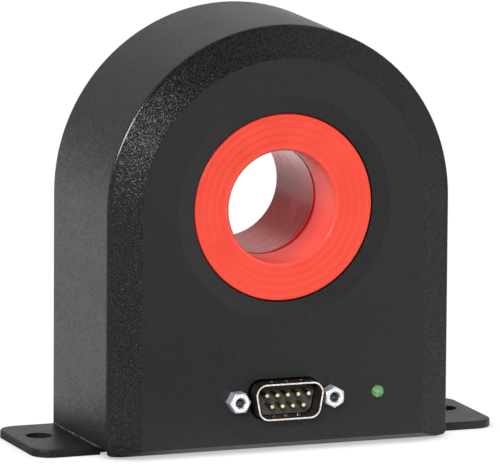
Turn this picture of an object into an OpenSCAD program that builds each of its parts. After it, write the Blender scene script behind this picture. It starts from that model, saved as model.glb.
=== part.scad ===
// Closed-loop current sensor: an arch-topped cast housing on a foot plate, with a
// stepped cable bushing through its magnetic head and a nine-pin connector.
// Millimetres. The front faces -Y, +X is to the right seen from the front, +Z is up.
// The origin lies midway between the two foot holes, on the mounting plane.
// Inside the modules y counts backwards from the flat front.

/* [Housing] */
// Width across the front arrises
housing_w = 90.5; // [86:0.5:110]
// Height of the aperture axis above the mounting plane
axis_h = 61.1; // [60:0.1:80]
// Depth from the flat front to the rear rim
housing_d = 42; // [41:0.5:60]
// Growth of each side from the front arris to the rear rim
draft = 0.5; // [0:0.1:1.2]
// Wall thickness of the casting
wall = 2.5; // [2:0.1:3]
// Width of the bevel round the front, seen from the front
bevel_w = 8.05; // [5:0.05:10]
// Depth of the bevel round the front
bevel_d = 3.9; // [3:0.1:5]
// Radius of the arris between the bevel and the sides
arris_r = 0.8; // [0.3:0.1:1.5]
// Radius of the edge between the flat front and the bevel
front_edge_r = 1.5; // [0.3:0.1:3]
// Radius of the outer edge at the rear
rear_edge_r = 0.4; // [0.2:0.1:0.8]
// Clearance under the front skirt
skirt_gap = 0.6; // [0.2:0.1:1.2]
// Height of the bevel along the foot of the front
skirt_bevel_h = 1.5; // [0.5:0.1:3]
// Depth of the bevel along the foot of the front
skirt_bevel_d = 2.2; // [0.5:0.1:2.4]
// Radius of the two lower corners of the front
skirt_r = 1.3; // [0.3:0.1:1.4]
// Width of the shallow dish round the bushing
dish_w = 4.4; // [2:0.1:6]
// Depth of the shallow dish round the bushing
dish_d = 1; // [0.4:0.1:1.4]
// Thickness of the rear cover
cover_t = 2; // [1.5:0.1:3]
// Radius of the screw bosses in the casting
boss_r = 3.6; // [3.2:0.1:4]
// Length of the screw bosses in the casting
boss_l = 10; // [8:0.5:12]

/* [Foot plate] */
// Thickness of the plate
plate_t = 2; // [1.5:0.1:3]
// Radius of the plate's upper edge
plate_edge_r = 0.4; // [0.2:0.1:0.8]
// Distance of the plate's front edge behind the front
plate_setback = 9.8; // [8:0.1:12]
// Depth of the plate's notch under the housing
notch_d = 2.8; // [1:0.1:3]
// Reach of each foot beyond the housing
foot_l = 15.45; // [13:0.05:25]
// Corner radius of the feet
foot_r = 5; // [1:0.5:6]
// Diameter of the foot holes
foot_hole_d = 6.5; // [4:0.1:8]
// Distance from a foot's end to its hole
foot_hole_inset = 6.85; // [5:0.05:8]
// Distance of the foot holes behind the front
hole_setback = 28; // [20:0.5:34]

/* [Bushing] */
// Diameter of the cable aperture as a share of the housing's width
aperture_share = 0.3116; // [0.27:0.0001:0.345]
// Wall thickness of the sleeve and the tube
bush_wall = 1.6; // [1.2:0.1:2]
// Diameter of the front flange
flange_d = 47; // [42:0.5:52]
// Diameter of the rear flange
rear_flange_d = 42; // [38:0.5:50]
// Thickness of a flange at its rim
flange_t = 1.6; // [1.2:0.1:2.2]
// Number of steps down into the mouth
mouth_steps = 4; // [2:1:5]
// Fall of each step
step_h = 0.1; // [0.05:0.01:0.25]
// Width of the soft slope of each step
step_run = 0.9; // [0.3:0.1:1.2]
// Width of the plain rim outside the steps
rim_w = 0.9; // [0.4:0.1:2]
// Radius of the lip where the mouth meets the bore
lip_r = 0.8; // [0.3:0.1:1]
// Distance of the seam in the bore behind the front
seam_y = 15.6; // [12:0.1:20]
// Open width of the seam
seam_gap = 1.3; // [0.2:0.1:1.5]
// Length of the lap joint behind the seam
lap_l = 5; // [3:0.5:8]

/* [Connector] */
// Height of the connector's centre above the mounting plane
connector_h = 13.3; // [12.5:0.1:16]
// Reach of the connector shell in front of the housing
shell_reach = 4.7; // [4:0.1:6]
// Sheet thickness of the connector shell
shell_t = 0.45; // [0.4:0.05:0.8]
// Inside width of the connector shell on its wide side
d_wide = 16.92; // [16:0.02:17]
// Inside height of the connector shell
d_high = 8.36; // [8:0.02:8.6]
// Lean of the connector shell's two ends in degrees
d_lean = 10; // [5:1:12]
// Inside corner radius of the connector shell
d_corner = 2.4; // [1.5:0.1:2.8]
// Distance between the jack screws
jack_pitch = 24.99; // [24.5:0.01:26]
// Reach of the jack screws in front of the housing
jack_reach = 3.35; // [3:0.05:5]
// Width of the jack screws across their flats
jack_af = 4.76; // [4:0.02:5]
// Diameter of the jack screws' tapped holes
jack_bore_d = 2.3; // [2:0.05:2.85]
// Distance between pins in a row
pin_pitch = 2.77; // [2.6:0.01:2.9]
// Distance between the two rows of pins
row_pitch = 2.84; // [2.6:0.01:3]
// Diameter of the pins
pin_d = 1; // [0.8:0.05:1.2]
// Reach of the pins in front of the housing
pin_reach = 3.6; // [3:0.1:4.2]
// Housing thickness left in front of the connector flange
panel_t = 1.3; // [1:0.1:1.8]

/* [Status lamp] */
// Distance of the lamp to the right of the aperture axis
led_x = 25.2; // [22:0.1:30]
// Height of the lamp above the mounting plane
led_h = 13.4; // [12:0.1:20]
// Diameter of the lamp
led_d = 3.4; // [3:0.1:5]
// Reach of the lamp in front of the housing
led_reach = 1.2; // [0.8:0.1:2]

/* [Magnetic head] */
// Room between the head and the housing wall
head_room = 8; // [7.6:0.1:12]
// Thickness of the compensation winding
winding_t = 1.8; // [1:0.1:3]
// Thickness of the shield cups
shield_t = 0.8; // [0.5:0.1:1.2]
// Length of each wound probe as a share of the room in the shield
probe_share = 0.3065; // [0.25:0.0005:0.34]
// Thickness of the probe windings
probe_winding_t = 1; // [0.6:0.1:1.5]
// Thickness of the front head ring
front_ring_t = 2; // [1.5:0.1:3]
// Thickness of the rear head ring
rear_ring_t = 3; // [2:0.1:4]

/* [Electronics] */
// Thickness of the board
board_t = 1.6; // [1:0.1:2]
// Height of the connector's centre above the board
connector_rise = 6.3; // [6.2:0.1:6.8]
// Height of the filter capacitors
cap_h = 12; // [8:0.5:14]
// Diameter of the filter capacitors
cap_d = 8; // [6:0.5:8.5]
// Height of the header for the head leads
header_h = 8; // [6:0.5:10]

/* [Hidden] */
$fn = 96;

// Overshoot of a cutting shape past the face it cuts
cut = 1;
// Clearance between parts that slide together
fit = 0.1;
// Depth that a boss runs into the wall that carries it
root = 0.8;

// Housing
half_w = housing_w / 2;
rear_half_w = half_w + draft;
bevel_a = atan2(bevel_d, bevel_w);
inner_corner_x = half_w - bevel_w - wall * tan(bevel_a / 2);
inner_side_y = bevel_d + wall * tan((90 - bevel_a) / 2);
cover_y = housing_d - cover_t;
cover_half_w = half_w - wall + draft * (cover_y - bevel_d) / (housing_d - bevel_d) - fit;

// M3 screws
screw_r = 1.5;
screw_head_r = 2.8;
screw_rim = 0.2;
screw_point = 0.3;
screw_head_h = 1.7;
socket_r = 1.15;
socket_depth = 1;
screw_free = 3;

// Ledge behind the skirt that closes the slot in front of the foot plate
ledge_lap = 1.4;
ledge_y = plate_setback + notch_d + ledge_lap;
ledge_t = 1.5;
ledge_in = wall - root;

// Screw bosses
boss_gap = 1;
boss_floor = 1;
boss_x = half_w - wall - boss_r + root;
base_front_y = ledge_y + boss_r;
base_rear_y = cover_y - boss_r - 2 * boss_gap;
base_spots = [for (side = [-1, 1], y = [base_front_y, base_rear_y]) [side * boss_x, y]];

// Foot plate
plate_half_l = rear_half_w + foot_l;
foot_hole_x = plate_half_l - foot_hole_inset;
plate_d = housing_d - plate_setback;
notch_margin = 0.6;

// Bushing
bore_d = round(10 * aperture_share * housing_w) / 10;
bore_r = bore_d / 2;
bush_r = bore_r + bush_wall;
lap_r = bore_r + bush_wall / 2;
flange_r = flange_d / 2;
rear_flange_r = rear_flange_d / 2;
seat_y = dish_d + flange_t;
seat_t = 2.4;
seat_w = 2.2;
seat_boss_y = seat_y + seat_t;
seat_boss_r = flange_r + seat_w;

// Connector
d_narrow = d_wide - 2 * (d_high - 2 * d_corner) * tan(d_lean);
flange_plate_w = 30.8;
flange_plate_h = 12.5;
flange_plate_t = 0.8;
flange_back_y = panel_t + flange_plate_t;
pocket_gap = 1;
cutout_gap = 0.5;
insulator_rise = 0.5;
insulator_y = panel_t - insulator_rise;
block_w = 17.2;
block_top = 5.9;
block_l = 8.4;
block_y = flange_back_y + block_l;
pin_r = pin_d / 2;
pin_leg_r = 0.8 * pin_r;
pin_tip_l = 0.35;
pin_collar_w = 0.25;
pin_collar_l = 0.4;
leg_gap = 1.1;
first_leg_y = block_y + leg_gap;
leg_pitch = 2.54;
jack_r = jack_af / 2 / cos(30);
jack_stud_r = 1.42;
jack_hole_r = jack_stud_r + 2 * fit;
jack_nut_af = 6.35;
jack_nut_r = jack_nut_af / 2 / cos(30);
jack_nut_t = 2.4;
jack_chamfer = 0.35;
jack_floor = 0.4;
stud_over = 0.8;
jack_turns = [-2, 30];

// Board
board_top = connector_h - connector_rise;
board_z = board_top - board_t;
board_gap = 0.4;
board_rear_gap = 2.5;
board_side_gap = 1.7;
board_front_y = inner_side_y + board_gap;
board_rear_y = cover_y - board_rear_gap;
board_half_w = half_w - wall - board_side_gap;
spacer_r = 3;
spacer_inset = 10.8;
spacer_x = board_half_w - spacer_inset;
spacer_y = [ledge_y + spacer_r + board_gap, board_rear_y - 1.5 * spacer_r];
spacer_spots = [for (side = [-1, 1], y = spacer_y) [side * spacer_x, y]];
leg_over = 0.6;
leg_end_z = board_z - leg_over;

// Output transistors, standing against the side walls
skin_t = 1;
pad_raise = 1;
pad_margin = 0.5;
pad_x = half_w - wall - pad_raise;
pad_t = 0.3;
tab_t = 1.3;
tab_w = 10;
tab_h = 15.6;
tab_x = pad_x - pad_t - tab_t;
body_t = 3.1;
body_h = 9.2;
transistor_y = (base_front_y + base_rear_y) / 2;
transistor_z = plate_t + boss_l + pad_margin + boss_gap / 2;
tab_hole_rise = 12.8;
tab_hole_z = transistor_z + tab_hole_rise;

// Cover screws, above the transistors and on the shoulders of the arch
cover_boss_h = transistor_z + tab_h + boss_r + boss_gap;
cover_boss_a = 45;
cover_spots = [
    for (side = [-1, 1]) [side * boss_x, cover_boss_h],
    for (side = [-1, 1]) [side * boss_x * cos(cover_boss_a), axis_h + boss_x * sin(cover_boss_a)]
];

// Parts on the board
cap_gap = 2;
cap_y = board_rear_y - cap_d / 2 - cap_gap;
cap_side_gap = 1.2;
cap_between = 1.6;
outer_cap_x = spacer_x - screw_head_r - cap_side_gap - cap_d / 2;
cap_x = [for (side = [-1, 1], place = [0, 1]) side * (outer_cap_x - place * (cap_d + cap_between))];
chip_l = 10.3;
chip_w = 7.5;
chip_h = 2.3;
chip_inset = 12;
chip_x = spacer_x - chip_inset;
chip_shift = 1.5;
chip_y = (board_front_y + board_rear_y) / 2 - chip_shift;
chip_leads = 8;
chip_lead_pitch = 1.27;
header_l = 13;
header_w = 5;
header_gap = 1.5;
header_y = first_leg_y + leg_pitch + header_gap + header_l / 2;
lead_socket = 3;
lead_count = 5;
lead_pitch = 2.5;
lead_r = 0.5;

// Magnetic head
head_gap = 0.9;
ring_inset = 2;
head_in = bush_r + head_gap;
head_out = half_w - wall - head_room;
head_y = seat_boss_y + front_ring_t;
head_end_y = cover_y - rear_ring_t;
shield_in = head_in + winding_t + fit;
shield_out = head_out - winding_t - fit;
shield_y = head_y + winding_t;
shield_end_y = head_end_y - winding_t;
shield_split_y = (shield_y + shield_end_y) / 2;
probe_in = shield_in + shield_t + fit;
probe_out = shield_out - shield_t - fit;
probe_a_y = shield_y + shield_t;
probe_l = probe_share * (shield_end_y - shield_y - 2 * shield_t);
probe_b_y = probe_a_y + probe_l;
ripple_y = probe_b_y + probe_l;
ripple_end_y = shield_end_y - shield_t;
turn_gap = 0.7;

// Frames of reference

// Moves shapes that count y from the flat front into the part's own frame
module from_front() {
    translate([0, -hole_setback, 0]) children();
}

// Lays a shape built round Z along the aperture axis, its z running backwards
module about_axis() {
    translate([0, 0, axis_h]) mirror([0, 1, 0]) rotate([90, 0, 0]) children();
}

// Pulls a flat x, z outline along y
module along_y(from, to) {
    translate([0, to, 0]) rotate([90, 0, 0]) linear_extrude(to - from) children();
}

// Round bar along y
module rod(r, x, z, from, to) {
    translate([x, from, z]) rotate([-90, 0, 0]) cylinder(r = r, h = to - from);
}

// Plain ring round the aperture axis
module ring(inner, outer, from, to) {
    about_axis() rotate_extrude() translate([inner, from]) square([outer - inner, to - from]);
}

// Housing

// Points of an arc that rounds the corner q between the points p and s
function rounded(p, q, s, r, steps) = let (
    u = (p - q) / norm(p - q),
    v = (s - q) / norm(s - q),
    half = acos(u * v) / 2,
    from = q + u * r / tan(half),
    to = q + v * r / tan(half),
    centre = q + (u + v) / norm(u + v) * r / sin(half),
    a = atan2(from.y - centre.y, from.x - centre.x),
    turn = (atan2(to.y - centre.y, to.x - centre.x) - a + 540) % 360 - 180
) [for (i = [0:steps]) centre + r * [cos(a + turn * i / steps), sin(a + turn * i / steps)]];

// Outside of the casting on its right-hand side, from the flat front to the rear rim
function outer_side() = let (
    front = [half_w - bevel_w, 0],
    arris = [half_w, bevel_d],
    rear = [rear_half_w, housing_d]
) concat(
    rounded([0, 0], front, arris, front_edge_r, 3),
    rounded(front, arris, rear, arris_r, 5),
    rounded(arris, rear, [0, housing_d], rear_edge_r, 3)
);

// Solid with a plan outline that runs up both sides and over the arch
module arch_body(side, low) {
    last = len(side) - 1;
    translate([0, 0, low]) linear_extrude(axis_h - low)
        polygon(concat(side, [for (i = [last:-1:0]) [-side[i].x, side[i].y]]));
    about_axis() rotate_extrude(angle = 180)
        polygon(concat([[0, side[0].y]], side, [[0, side[last].y]]));
}

// Rounds the two lower corners of the front
module skirt_corners() {
    for (side = [-1, 1]) difference() {
        translate([side * half_w - skirt_r, -cut, skirt_gap - skirt_r])
            cube([2 * skirt_r, bevel_d + 2 * cut, 2 * skirt_r]);
        rod(skirt_r, side * (half_w - skirt_r), skirt_gap + skirt_r, -2 * cut, bevel_d + 2 * cut);
    }
}

// Wedge that bevels the foot of the front
module skirt_wedge() {
    lean = skirt_bevel_h / skirt_bevel_d;
    translate([-half_w, 0, skirt_gap]) rotate([90, 0, 90]) linear_extrude(housing_w)
        polygon([[-cut, skirt_bevel_h + cut * lean], [skirt_bevel_d + cut / lean, -cut], [-cut, -cut]]);
}

// Shallow dish, flange seat and sleeve hole, as one turned cutter
module bushing_seat() {
    slope = dish_w / dish_d;
    about_axis() rotate_extrude() polygon([
        [0, -cut], [flange_r + dish_w + cut * slope, -cut], [flange_r + 2 * fit, dish_d],
        [flange_r + 2 * fit, seat_y], [bush_r + fit, seat_y],
        [bush_r + fit, seat_boss_y + cut], [0, seat_boss_y + cut]
    ]);
}

// Flat inside the wall that a transistor is screwed to
module heat_pad(side) {
    face = side > 0 ? pad_x : -half_w + wall - root;
    pad_w = tab_w + 2 * pad_margin;
    translate([face, transistor_y - pad_w / 2, transistor_z - pad_margin])
        cube([half_w - wall + root - pad_x, pad_w, tab_h + 2 * pad_margin]);
}

// Nine-pin D outline, seen from the front, grown outwards
module d_outline(grow) {
    hull() for (side = [-1, 1]) {
        translate([side * (d_wide / 2 - d_corner), d_high / 2 - d_corner])
            circle(r = d_corner + grow, $fn = 32);
        translate([side * (d_narrow / 2 - d_corner), d_corner - d_high / 2])
            circle(r = d_corner + grow, $fn = 32);
    }
}

// Plan of the ledge, set a little way into the walls all round
module ledge_plan() {
    front_x = half_w - bevel_w - ledge_in * tan(bevel_a / 2);
    side_x = half_w - ledge_in;
    side_y = bevel_d + ledge_in * tan((90 - bevel_a) / 2);
    polygon([
        [-front_x, ledge_in], [front_x, ledge_in], [side_x, side_y], [side_x, ledge_y],
        [-side_x, ledge_y], [-side_x, side_y]
    ]);
}

module housing_shell() {
    color("#2c2c2e") from_front() difference() {
        union() {
            difference() {
                arch_body(outer_side(), skirt_gap);
                arch_body([
                    [inner_corner_x, wall], [half_w - wall, inner_side_y],
                    [rear_half_w - wall, housing_d], [rear_half_w - wall, housing_d + cut]
                ], -cut);
            }
            rod(seat_boss_r, 0, axis_h, wall / 2, seat_boss_y);
            for (spot = cover_spots) rod(boss_r, spot.x, spot.y, cover_y - boss_l, cover_y);
            for (spot = base_spots) translate([spot.x, spot.y, plate_t]) cylinder(r = boss_r, h = boss_l);
            for (side = [-1, 1]) heat_pad(side);
            translate([0, 0, plate_t]) linear_extrude(ledge_t) ledge_plan();
        }
        // The side walls stop on the foot plate, the front skirt runs past it
        translate([-housing_w, bevel_d, -cut]) cube([2 * housing_w, housing_d, cut + plate_t]);
        skirt_wedge();
        skirt_corners();
        bushing_seat();
        // Thinned wall, cut-out and screw holes for the connector
        translate([0, 0, connector_h]) {
            translate([-flange_plate_w / 2 - pocket_gap, panel_t, -flange_plate_h / 2 - pocket_gap])
                cube([flange_plate_w + 2 * pocket_gap, wall, flange_plate_h + 2 * pocket_gap]);
            along_y(-cut, wall + cut) d_outline(shell_t + cutout_gap);
            for (side = [-1, 1]) rod(jack_hole_r, side * jack_pitch / 2, 0, -cut, wall + cut);
        }
        rod(led_d / 2 + fit, led_x, led_h, -cut, wall + cut);
        // Tapped holes
        for (spot = cover_spots)
            rod(screw_r + fit, spot.x, spot.y, cover_y - boss_l + boss_floor, cover_y + cut);
        for (spot = base_spots)
            translate([spot.x, spot.y, plate_t - cut])
                cylinder(r = screw_r + fit, h = boss_l - boss_floor + cut);
        for (side = [-1, 1]) translate([side * (half_w - skin_t), transistor_y, tab_hole_z])
            rotate([0, -90 * side, 0]) cylinder(r = screw_r + fit, h = wall + pad_raise + cut);
    }
}

module rear_cover() {
    color("#2c2c2e") from_front() difference() {
        arch_body([[cover_half_w, cover_y], [cover_half_w, housing_d]], plate_t);
        rod(bush_r + fit, 0, axis_h, cover_y - cut, housing_d + cut);
        for (spot = cover_spots) rod(screw_r + fit, spot.x, spot.y, cover_y - cut, housing_d + cut);
    }
}

// Fasteners

// Domed screw along +Z, its head's underside at z = 0
module domed_screw(length) {
    difference() {
        rotate_extrude() polygon([
            [0, -length], [screw_r - screw_point, -length], [screw_r, screw_point - length], [screw_r, 0],
            [screw_head_r, 0], [screw_head_r, 0.35 * screw_head_h],
            [0.87 * screw_head_r, 0.75 * screw_head_h], [0.58 * screw_head_r, screw_head_h],
            [0, screw_head_h]
        ]);
        translate([0, 0, screw_head_h - socket_depth])
            cylinder(r = socket_r, h = socket_depth + cut, $fn = 6);
    }
}

// Countersunk screw along +Z, its flat face at z = 0
module flush_screw(length) {
    difference() {
        rotate_extrude() polygon([
            [0, 0], [screw_head_r, 0], [screw_head_r, screw_rim],
            [screw_r, screw_rim + screw_head_r - screw_r], [screw_r, length - screw_point],
            [screw_r - screw_point, length], [0, length]
        ]);
        translate([0, 0, -cut]) cylinder(r = socket_r, h = socket_depth + cut, $fn = 6);
    }
}

module cover_screws() {
    color("#8e9093") from_front() for (spot = cover_spots)
        translate([spot.x, housing_d, spot.y]) rotate([-90, 0, 0]) domed_screw(cover_t + boss_l - screw_free);
}

module base_screws() {
    color("#8e9093") from_front() for (spot = base_spots)
        translate([spot.x, spot.y, fit]) flush_screw(plate_t + boss_l - screw_free);
}

module board_screws() {
    color("#8e9093") from_front() for (spot = spacer_spots)
        translate([spot.x, spot.y, board_top]) domed_screw(board_top - 2 * fit);
}

module transistor_screws() {
    color("#8e9093") from_front() for (side = [-1, 1])
        translate([side * tab_x, transistor_y, tab_hole_z]) rotate([0, -90 * side, 0])
            domed_screw(half_w - 2 * skin_t - tab_x);
}

// Foot plate

// Section of the plate's border, rounded at its upper edge
module plate_edge() {
    centre = [foot_r - plate_edge_r, plate_t - plate_edge_r];
    polygon(concat(
        [[0, 0], [foot_r, 0]],
        [for (a = [0:30:90]) centre + plate_edge_r * [cos(a), sin(a)]],
        [[0, plate_t]]
    ));
}

module base_plate() {
    color("#2c2c2e") from_front() difference() {
        translate([0, plate_setback, 0]) {
            translate([foot_r - plate_half_l, foot_r, 0])
                cube([2 * (plate_half_l - foot_r), plate_d - 2 * foot_r, plate_t]);
            for (back = [0, 1]) translate([foot_r - plate_half_l, back * plate_d, 0]) mirror([0, back, 0])
                translate([0, foot_r, 0]) rotate([90, 0, 90]) linear_extrude(2 * (plate_half_l - foot_r))
                    mirror([1, 0]) plate_edge();
            for (side = [0, 1]) mirror([side, 0, 0]) translate([plate_half_l - foot_r, foot_r, 0]) {
                translate([0, plate_d - 2 * foot_r, 0]) rotate([90, 0, 0])
                    linear_extrude(plate_d - 2 * foot_r) plate_edge();
                for (y = [0, plate_d - 2 * foot_r]) translate([0, y, 0]) rotate_extrude() plate_edge();
            }
        }
        translate([notch_margin - half_w, plate_setback - cut, -cut])
            cube([housing_w - 2 * notch_margin, notch_d + cut, plate_t + 2 * cut]);
        for (side = [-1, 1]) translate([side * foot_hole_x, hole_setback, -cut])
            cylinder(d = foot_hole_d, h = plate_t + 2 * cut);
        for (spot = base_spots) translate([spot.x, spot.y, 0]) {
            translate([0, 0, -cut]) cylinder(r = screw_r + fit, h = plate_t + 2 * cut);
            translate([0, 0, -cut]) cylinder(r = screw_head_r + fit, h = cut + fit + screw_rim);
            translate([0, 0, fit + screw_rim])
                cylinder(r1 = screw_head_r, r2 = screw_r + fit, h = screw_head_r - screw_r - fit);
        }
        for (spot = spacer_spots) translate([spot.x, spot.y, -cut])
            cylinder(r = screw_r + fit, h = plate_t + 2 * cut);
    }
}

// Bushing

// Half section of a stepped mouth from the bore's lip out to the rim, y running inwards from the rim face
function mouth_points(outer) = let (
    pitch = (outer - rim_w - bore_r - lip_r) / mouth_steps,
    run = min(step_run, 0.8 * pitch),
    floor_y = mouth_steps * step_h
) concat(
    [for (a = [180:-15:90]) [bore_r + lip_r + lip_r * cos(a), floor_y + lip_r - lip_r * sin(a)]],
    [for (i = [mouth_steps:-1:1], a = [0:30:180])
        [outer - rim_w - (i - 1) * pitch - run * (1 - a / 180), (i - (1 - cos(a)) / 2) * step_h]],
    [[outer - 0.3, 0], [outer, 0.3]]
);

module front_bushing() {
    color("#e8402f") from_front() about_axis() rotate_extrude() polygon(concat(
        [for (p = mouth_points(flange_r)) [p.x, dish_d + p.y]],
        [[flange_r, seat_y], [bush_r, seat_y], [bush_r, seam_y + lap_l], [lap_r + fit, seam_y + lap_l],
         [lap_r + fit, seam_y], [bore_r, seam_y]]
    ));
}

module rear_bushing() {
    rim_y = housing_d + flange_t;
    color("#e8402f") from_front() about_axis() rotate_extrude() polygon(concat(
        [for (p = mouth_points(rear_flange_r)) [p.x, rim_y - p.y]],
        [[rear_flange_r, housing_d], [bush_r, housing_d], [bush_r, seam_y + lap_l + seam_gap],
         [lap_r, seam_y + lap_l + seam_gap], [lap_r, seam_y + seam_gap], [bore_r, seam_y + seam_gap]]
    ));
}

// Connector and lamp

pin_spots = concat(
    [for (i = [-2:2]) [i * pin_pitch, row_pitch / 2, 1]],
    [for (i = [-1.5:1.5]) [i * pin_pitch, -row_pitch / 2, 0]]
);

// Positions of the grip dimples: x and the long side they lie on
dimple_spots = concat([for (i = [-1:1]) [3.9 * i, 1]], [for (i = [-1:1]) [3.3 * i, -1]]);

// Blunt cone in a long side of the connector shell, pointing into the shell
module dimple(spot, r, lift) {
    depth = 0.4;
    translate([spot.x, -1.7, spot.y * (d_high / 2 + lift)]) rotate([90 + 90 * spot.y, 0, 0])
        translate([0, 0, -shell_t]) cylinder(r1 = r + shell_t / 2, r2 = r - depth / 2, h = shell_t + depth);
}

module connector_shell() {
    color("#cfc4bd") from_front() translate([0, 0, connector_h]) difference() {
        union() {
            difference() {
                union() {
                    along_y(-shell_reach, flange_back_y) d_outline(shell_t);
                    translate([-flange_plate_w / 2, panel_t, -flange_plate_h / 2])
                        cube([flange_plate_w, flange_plate_t, flange_plate_h]);
                }
                along_y(-shell_reach - cut, flange_back_y + cut) d_outline(0);
            }
            for (spot = dimple_spots) dimple(spot, 0.7, 0);
        }
        for (spot = dimple_spots) dimple(spot, 0.5, shell_t);
        for (side = [-1, 1]) rod(jack_hole_r, side * jack_pitch / 2, 0, panel_t - cut, flange_back_y + cut);
    }
}

module connector_body() {
    color("#3b3b3d") from_front() translate([0, 0, connector_h]) difference() {
        union() {
            along_y(insulator_y, flange_back_y) d_outline(-fit);
            translate([-block_w / 2, flange_back_y, -connector_rise])
                cube([block_w, block_y - flange_back_y, connector_rise + block_top]);
        }
        for (spot = pin_spots) rod(pin_r + fit / 2, spot.x, spot.y, insulator_y - cut, block_y + cut);
    }
}

module connector_pins() {
    color("#d9b45a") from_front() for (spot = pin_spots) {
        leg_y = first_leg_y + spot.z * leg_pitch;
        rod_z = connector_h + spot.y;
        rod(pin_r, spot.x, rod_z, pin_tip_l - pin_reach, leg_y + pin_r);
        translate([spot.x, -pin_reach, rod_z]) rotate([-90, 0, 0]) rotate_extrude() polygon(concat(
            [for (a = [0:15:90]) [pin_r * sin(a), pin_tip_l * (1 - cos(a))]], [[0, pin_tip_l]]
        ));
        rod(pin_r + pin_collar_w, spot.x, rod_z, block_y, block_y + pin_collar_l);
        translate([spot.x, leg_y, leg_end_z]) cylinder(r = pin_leg_r, h = rod_z - leg_end_z);
    }
}

module jack_screws() {
    color("#d8d8da") from_front() for (i = [0, 1])
        translate([(i - 0.5) * jack_pitch, 0, connector_h]) rotate([0, jack_turns[i], 0]) rotate([90, 0, 0])
            difference() {
                union() {
                    intersection() {
                        cylinder(r = jack_r, h = jack_reach, $fn = 6);
                        rotate_extrude() polygon([
                            [0, 0], [jack_r, 0], [jack_r, jack_reach - jack_chamfer],
                            [jack_r - 1.7 * jack_chamfer, jack_reach], [0, jack_reach]
                        ]);
                    }
                    translate([0, 0, -flange_back_y - jack_nut_t - stud_over])
                        cylinder(r = jack_stud_r, h = flange_back_y + jack_nut_t + stud_over);
                }
                translate([0, 0, jack_floor]) cylinder(d = jack_bore_d, h = jack_reach);
                translate([0, 0, jack_reach - jack_chamfer])
                    cylinder(d1 = jack_bore_d, d2 = jack_bore_d + 4 * jack_chamfer, h = 2 * jack_chamfer);
            }
}

module jack_nuts() {
    color("#c3c4c6") from_front() for (side = [-1, 1])
        translate([side * jack_pitch / 2, flange_back_y, connector_h]) rotate([-90, 0, 0]) difference() {
            cylinder(r = jack_nut_r, h = jack_nut_t, $fn = 6);
            translate([0, 0, -cut]) cylinder(r = jack_stud_r + fit, h = jack_nut_t + 2 * cut);
        }
}

module status_led() {
    led_r = led_d / 2;
    color("#5fae57") from_front() translate([led_x, 0, led_h]) rotate([-90, 0, 0]) rotate_extrude()
        polygon(concat(
            [for (a = [0:15:90]) [led_r * sin(a), -led_reach * cos(a)]],
            [[led_r, wall], [led_r + 0.45, wall], [led_r + 0.45, wall + 1], [0, wall + 1]]
        ));
}

module led_leads() {
    lead_t = 0.5;
    lead_y = board_front_y + 2;
    color("#c3c4c6") from_front() for (side = [-1, 1])
        translate([led_x + side * leg_pitch / 2 - lead_t / 2, 0, 0]) {
            translate([0, wall + 1, led_h - lead_t / 2]) cube([lead_t, lead_y - wall - 1 + lead_t, lead_t]);
            translate([0, lead_y, leg_end_z]) cube([lead_t, lead_t, led_h - leg_end_z]);
        }
}

// Board and the parts on it

module main_board() {
    hole_r = 0.6;
    color("#2f6b45") from_front() difference() {
        translate([-board_half_w, board_front_y, board_z])
            cube([2 * board_half_w, board_rear_y - board_front_y, board_t]);
        translate([0, 0, board_z - cut]) {
            for (spot = base_spots) translate([spot.x, spot.y, 0])
                cylinder(r = boss_r + 0.5, h = board_t + 2 * cut);
            for (spot = spacer_spots) translate([spot.x, spot.y, 0])
                cylinder(r = screw_r + fit, h = board_t + 2 * cut);
            for (spot = pin_spots) translate([spot.x, first_leg_y + spot.z * leg_pitch, 0])
                cylinder(r = hole_r, h = board_t + 2 * cut);
            for (side = [-1, 1]) {
                translate([led_x + side * leg_pitch / 2, board_front_y + 2.25, 0])
                    cylinder(r = hole_r, h = board_t + 2 * cut);
                for (i = [-1:1]) translate([side * (tab_x - body_t / 2), transistor_y + i * leg_pitch, 0])
                    cylinder(r = hole_r, h = board_t + 2 * cut);
            }
        }
    }
}

module board_spacers() {
    spacer_h = board_z - plate_t;
    color("#c3c4c6") from_front() for (spot = spacer_spots)
        translate([spot.x, spot.y, plate_t]) difference() {
            cylinder(r = spacer_r, h = spacer_h);
            translate([0, 0, -cut]) cylinder(r = screw_r + fit, h = spacer_h + 2 * cut);
        }
}

module transistor_bodies() {
    color("#28282a") from_front() for (side = [-1, 1])
        translate([side * (tab_x - body_t / 2) - body_t / 2, transistor_y - tab_w / 2, transistor_z])
            cube([body_t, tab_w, body_h]);
}

module transistor_frames() {
    leg_w = 0.8;
    leg_t = 0.5;
    leg_x = tab_x - body_t / 2;
    color("#b9bcc0") from_front() for (side = [-1, 1]) {
        difference() {
            translate([side * (tab_x + tab_t / 2) - tab_t / 2, transistor_y - tab_w / 2, transistor_z])
                cube([tab_t, tab_w, tab_h]);
            translate([side * tab_x, transistor_y, tab_hole_z]) rotate([0, 90 * side, 0])
                translate([0, 0, -cut]) cylinder(r = screw_r + 2 * fit, h = tab_t + 2 * cut);
        }
        for (i = [-1:1])
            translate([side * leg_x - leg_t / 2, transistor_y + i * leg_pitch - leg_w / 2, leg_end_z])
                cube([leg_t, leg_w, transistor_z - leg_end_z]);
    }
}

module transistor_pads() {
    color("#9aa0a6") from_front() for (side = [-1, 1]) difference() {
        translate([side * (pad_x - pad_t / 2) - pad_t / 2, transistor_y - tab_w / 2, transistor_z])
            cube([pad_t, tab_w, tab_h]);
        translate([side * (pad_x - pad_t), transistor_y, tab_hole_z]) rotate([0, 90 * side, 0])
            translate([0, 0, -cut]) cylinder(r = screw_r + 2 * fit, h = pad_t + 2 * cut);
    }
}

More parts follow.
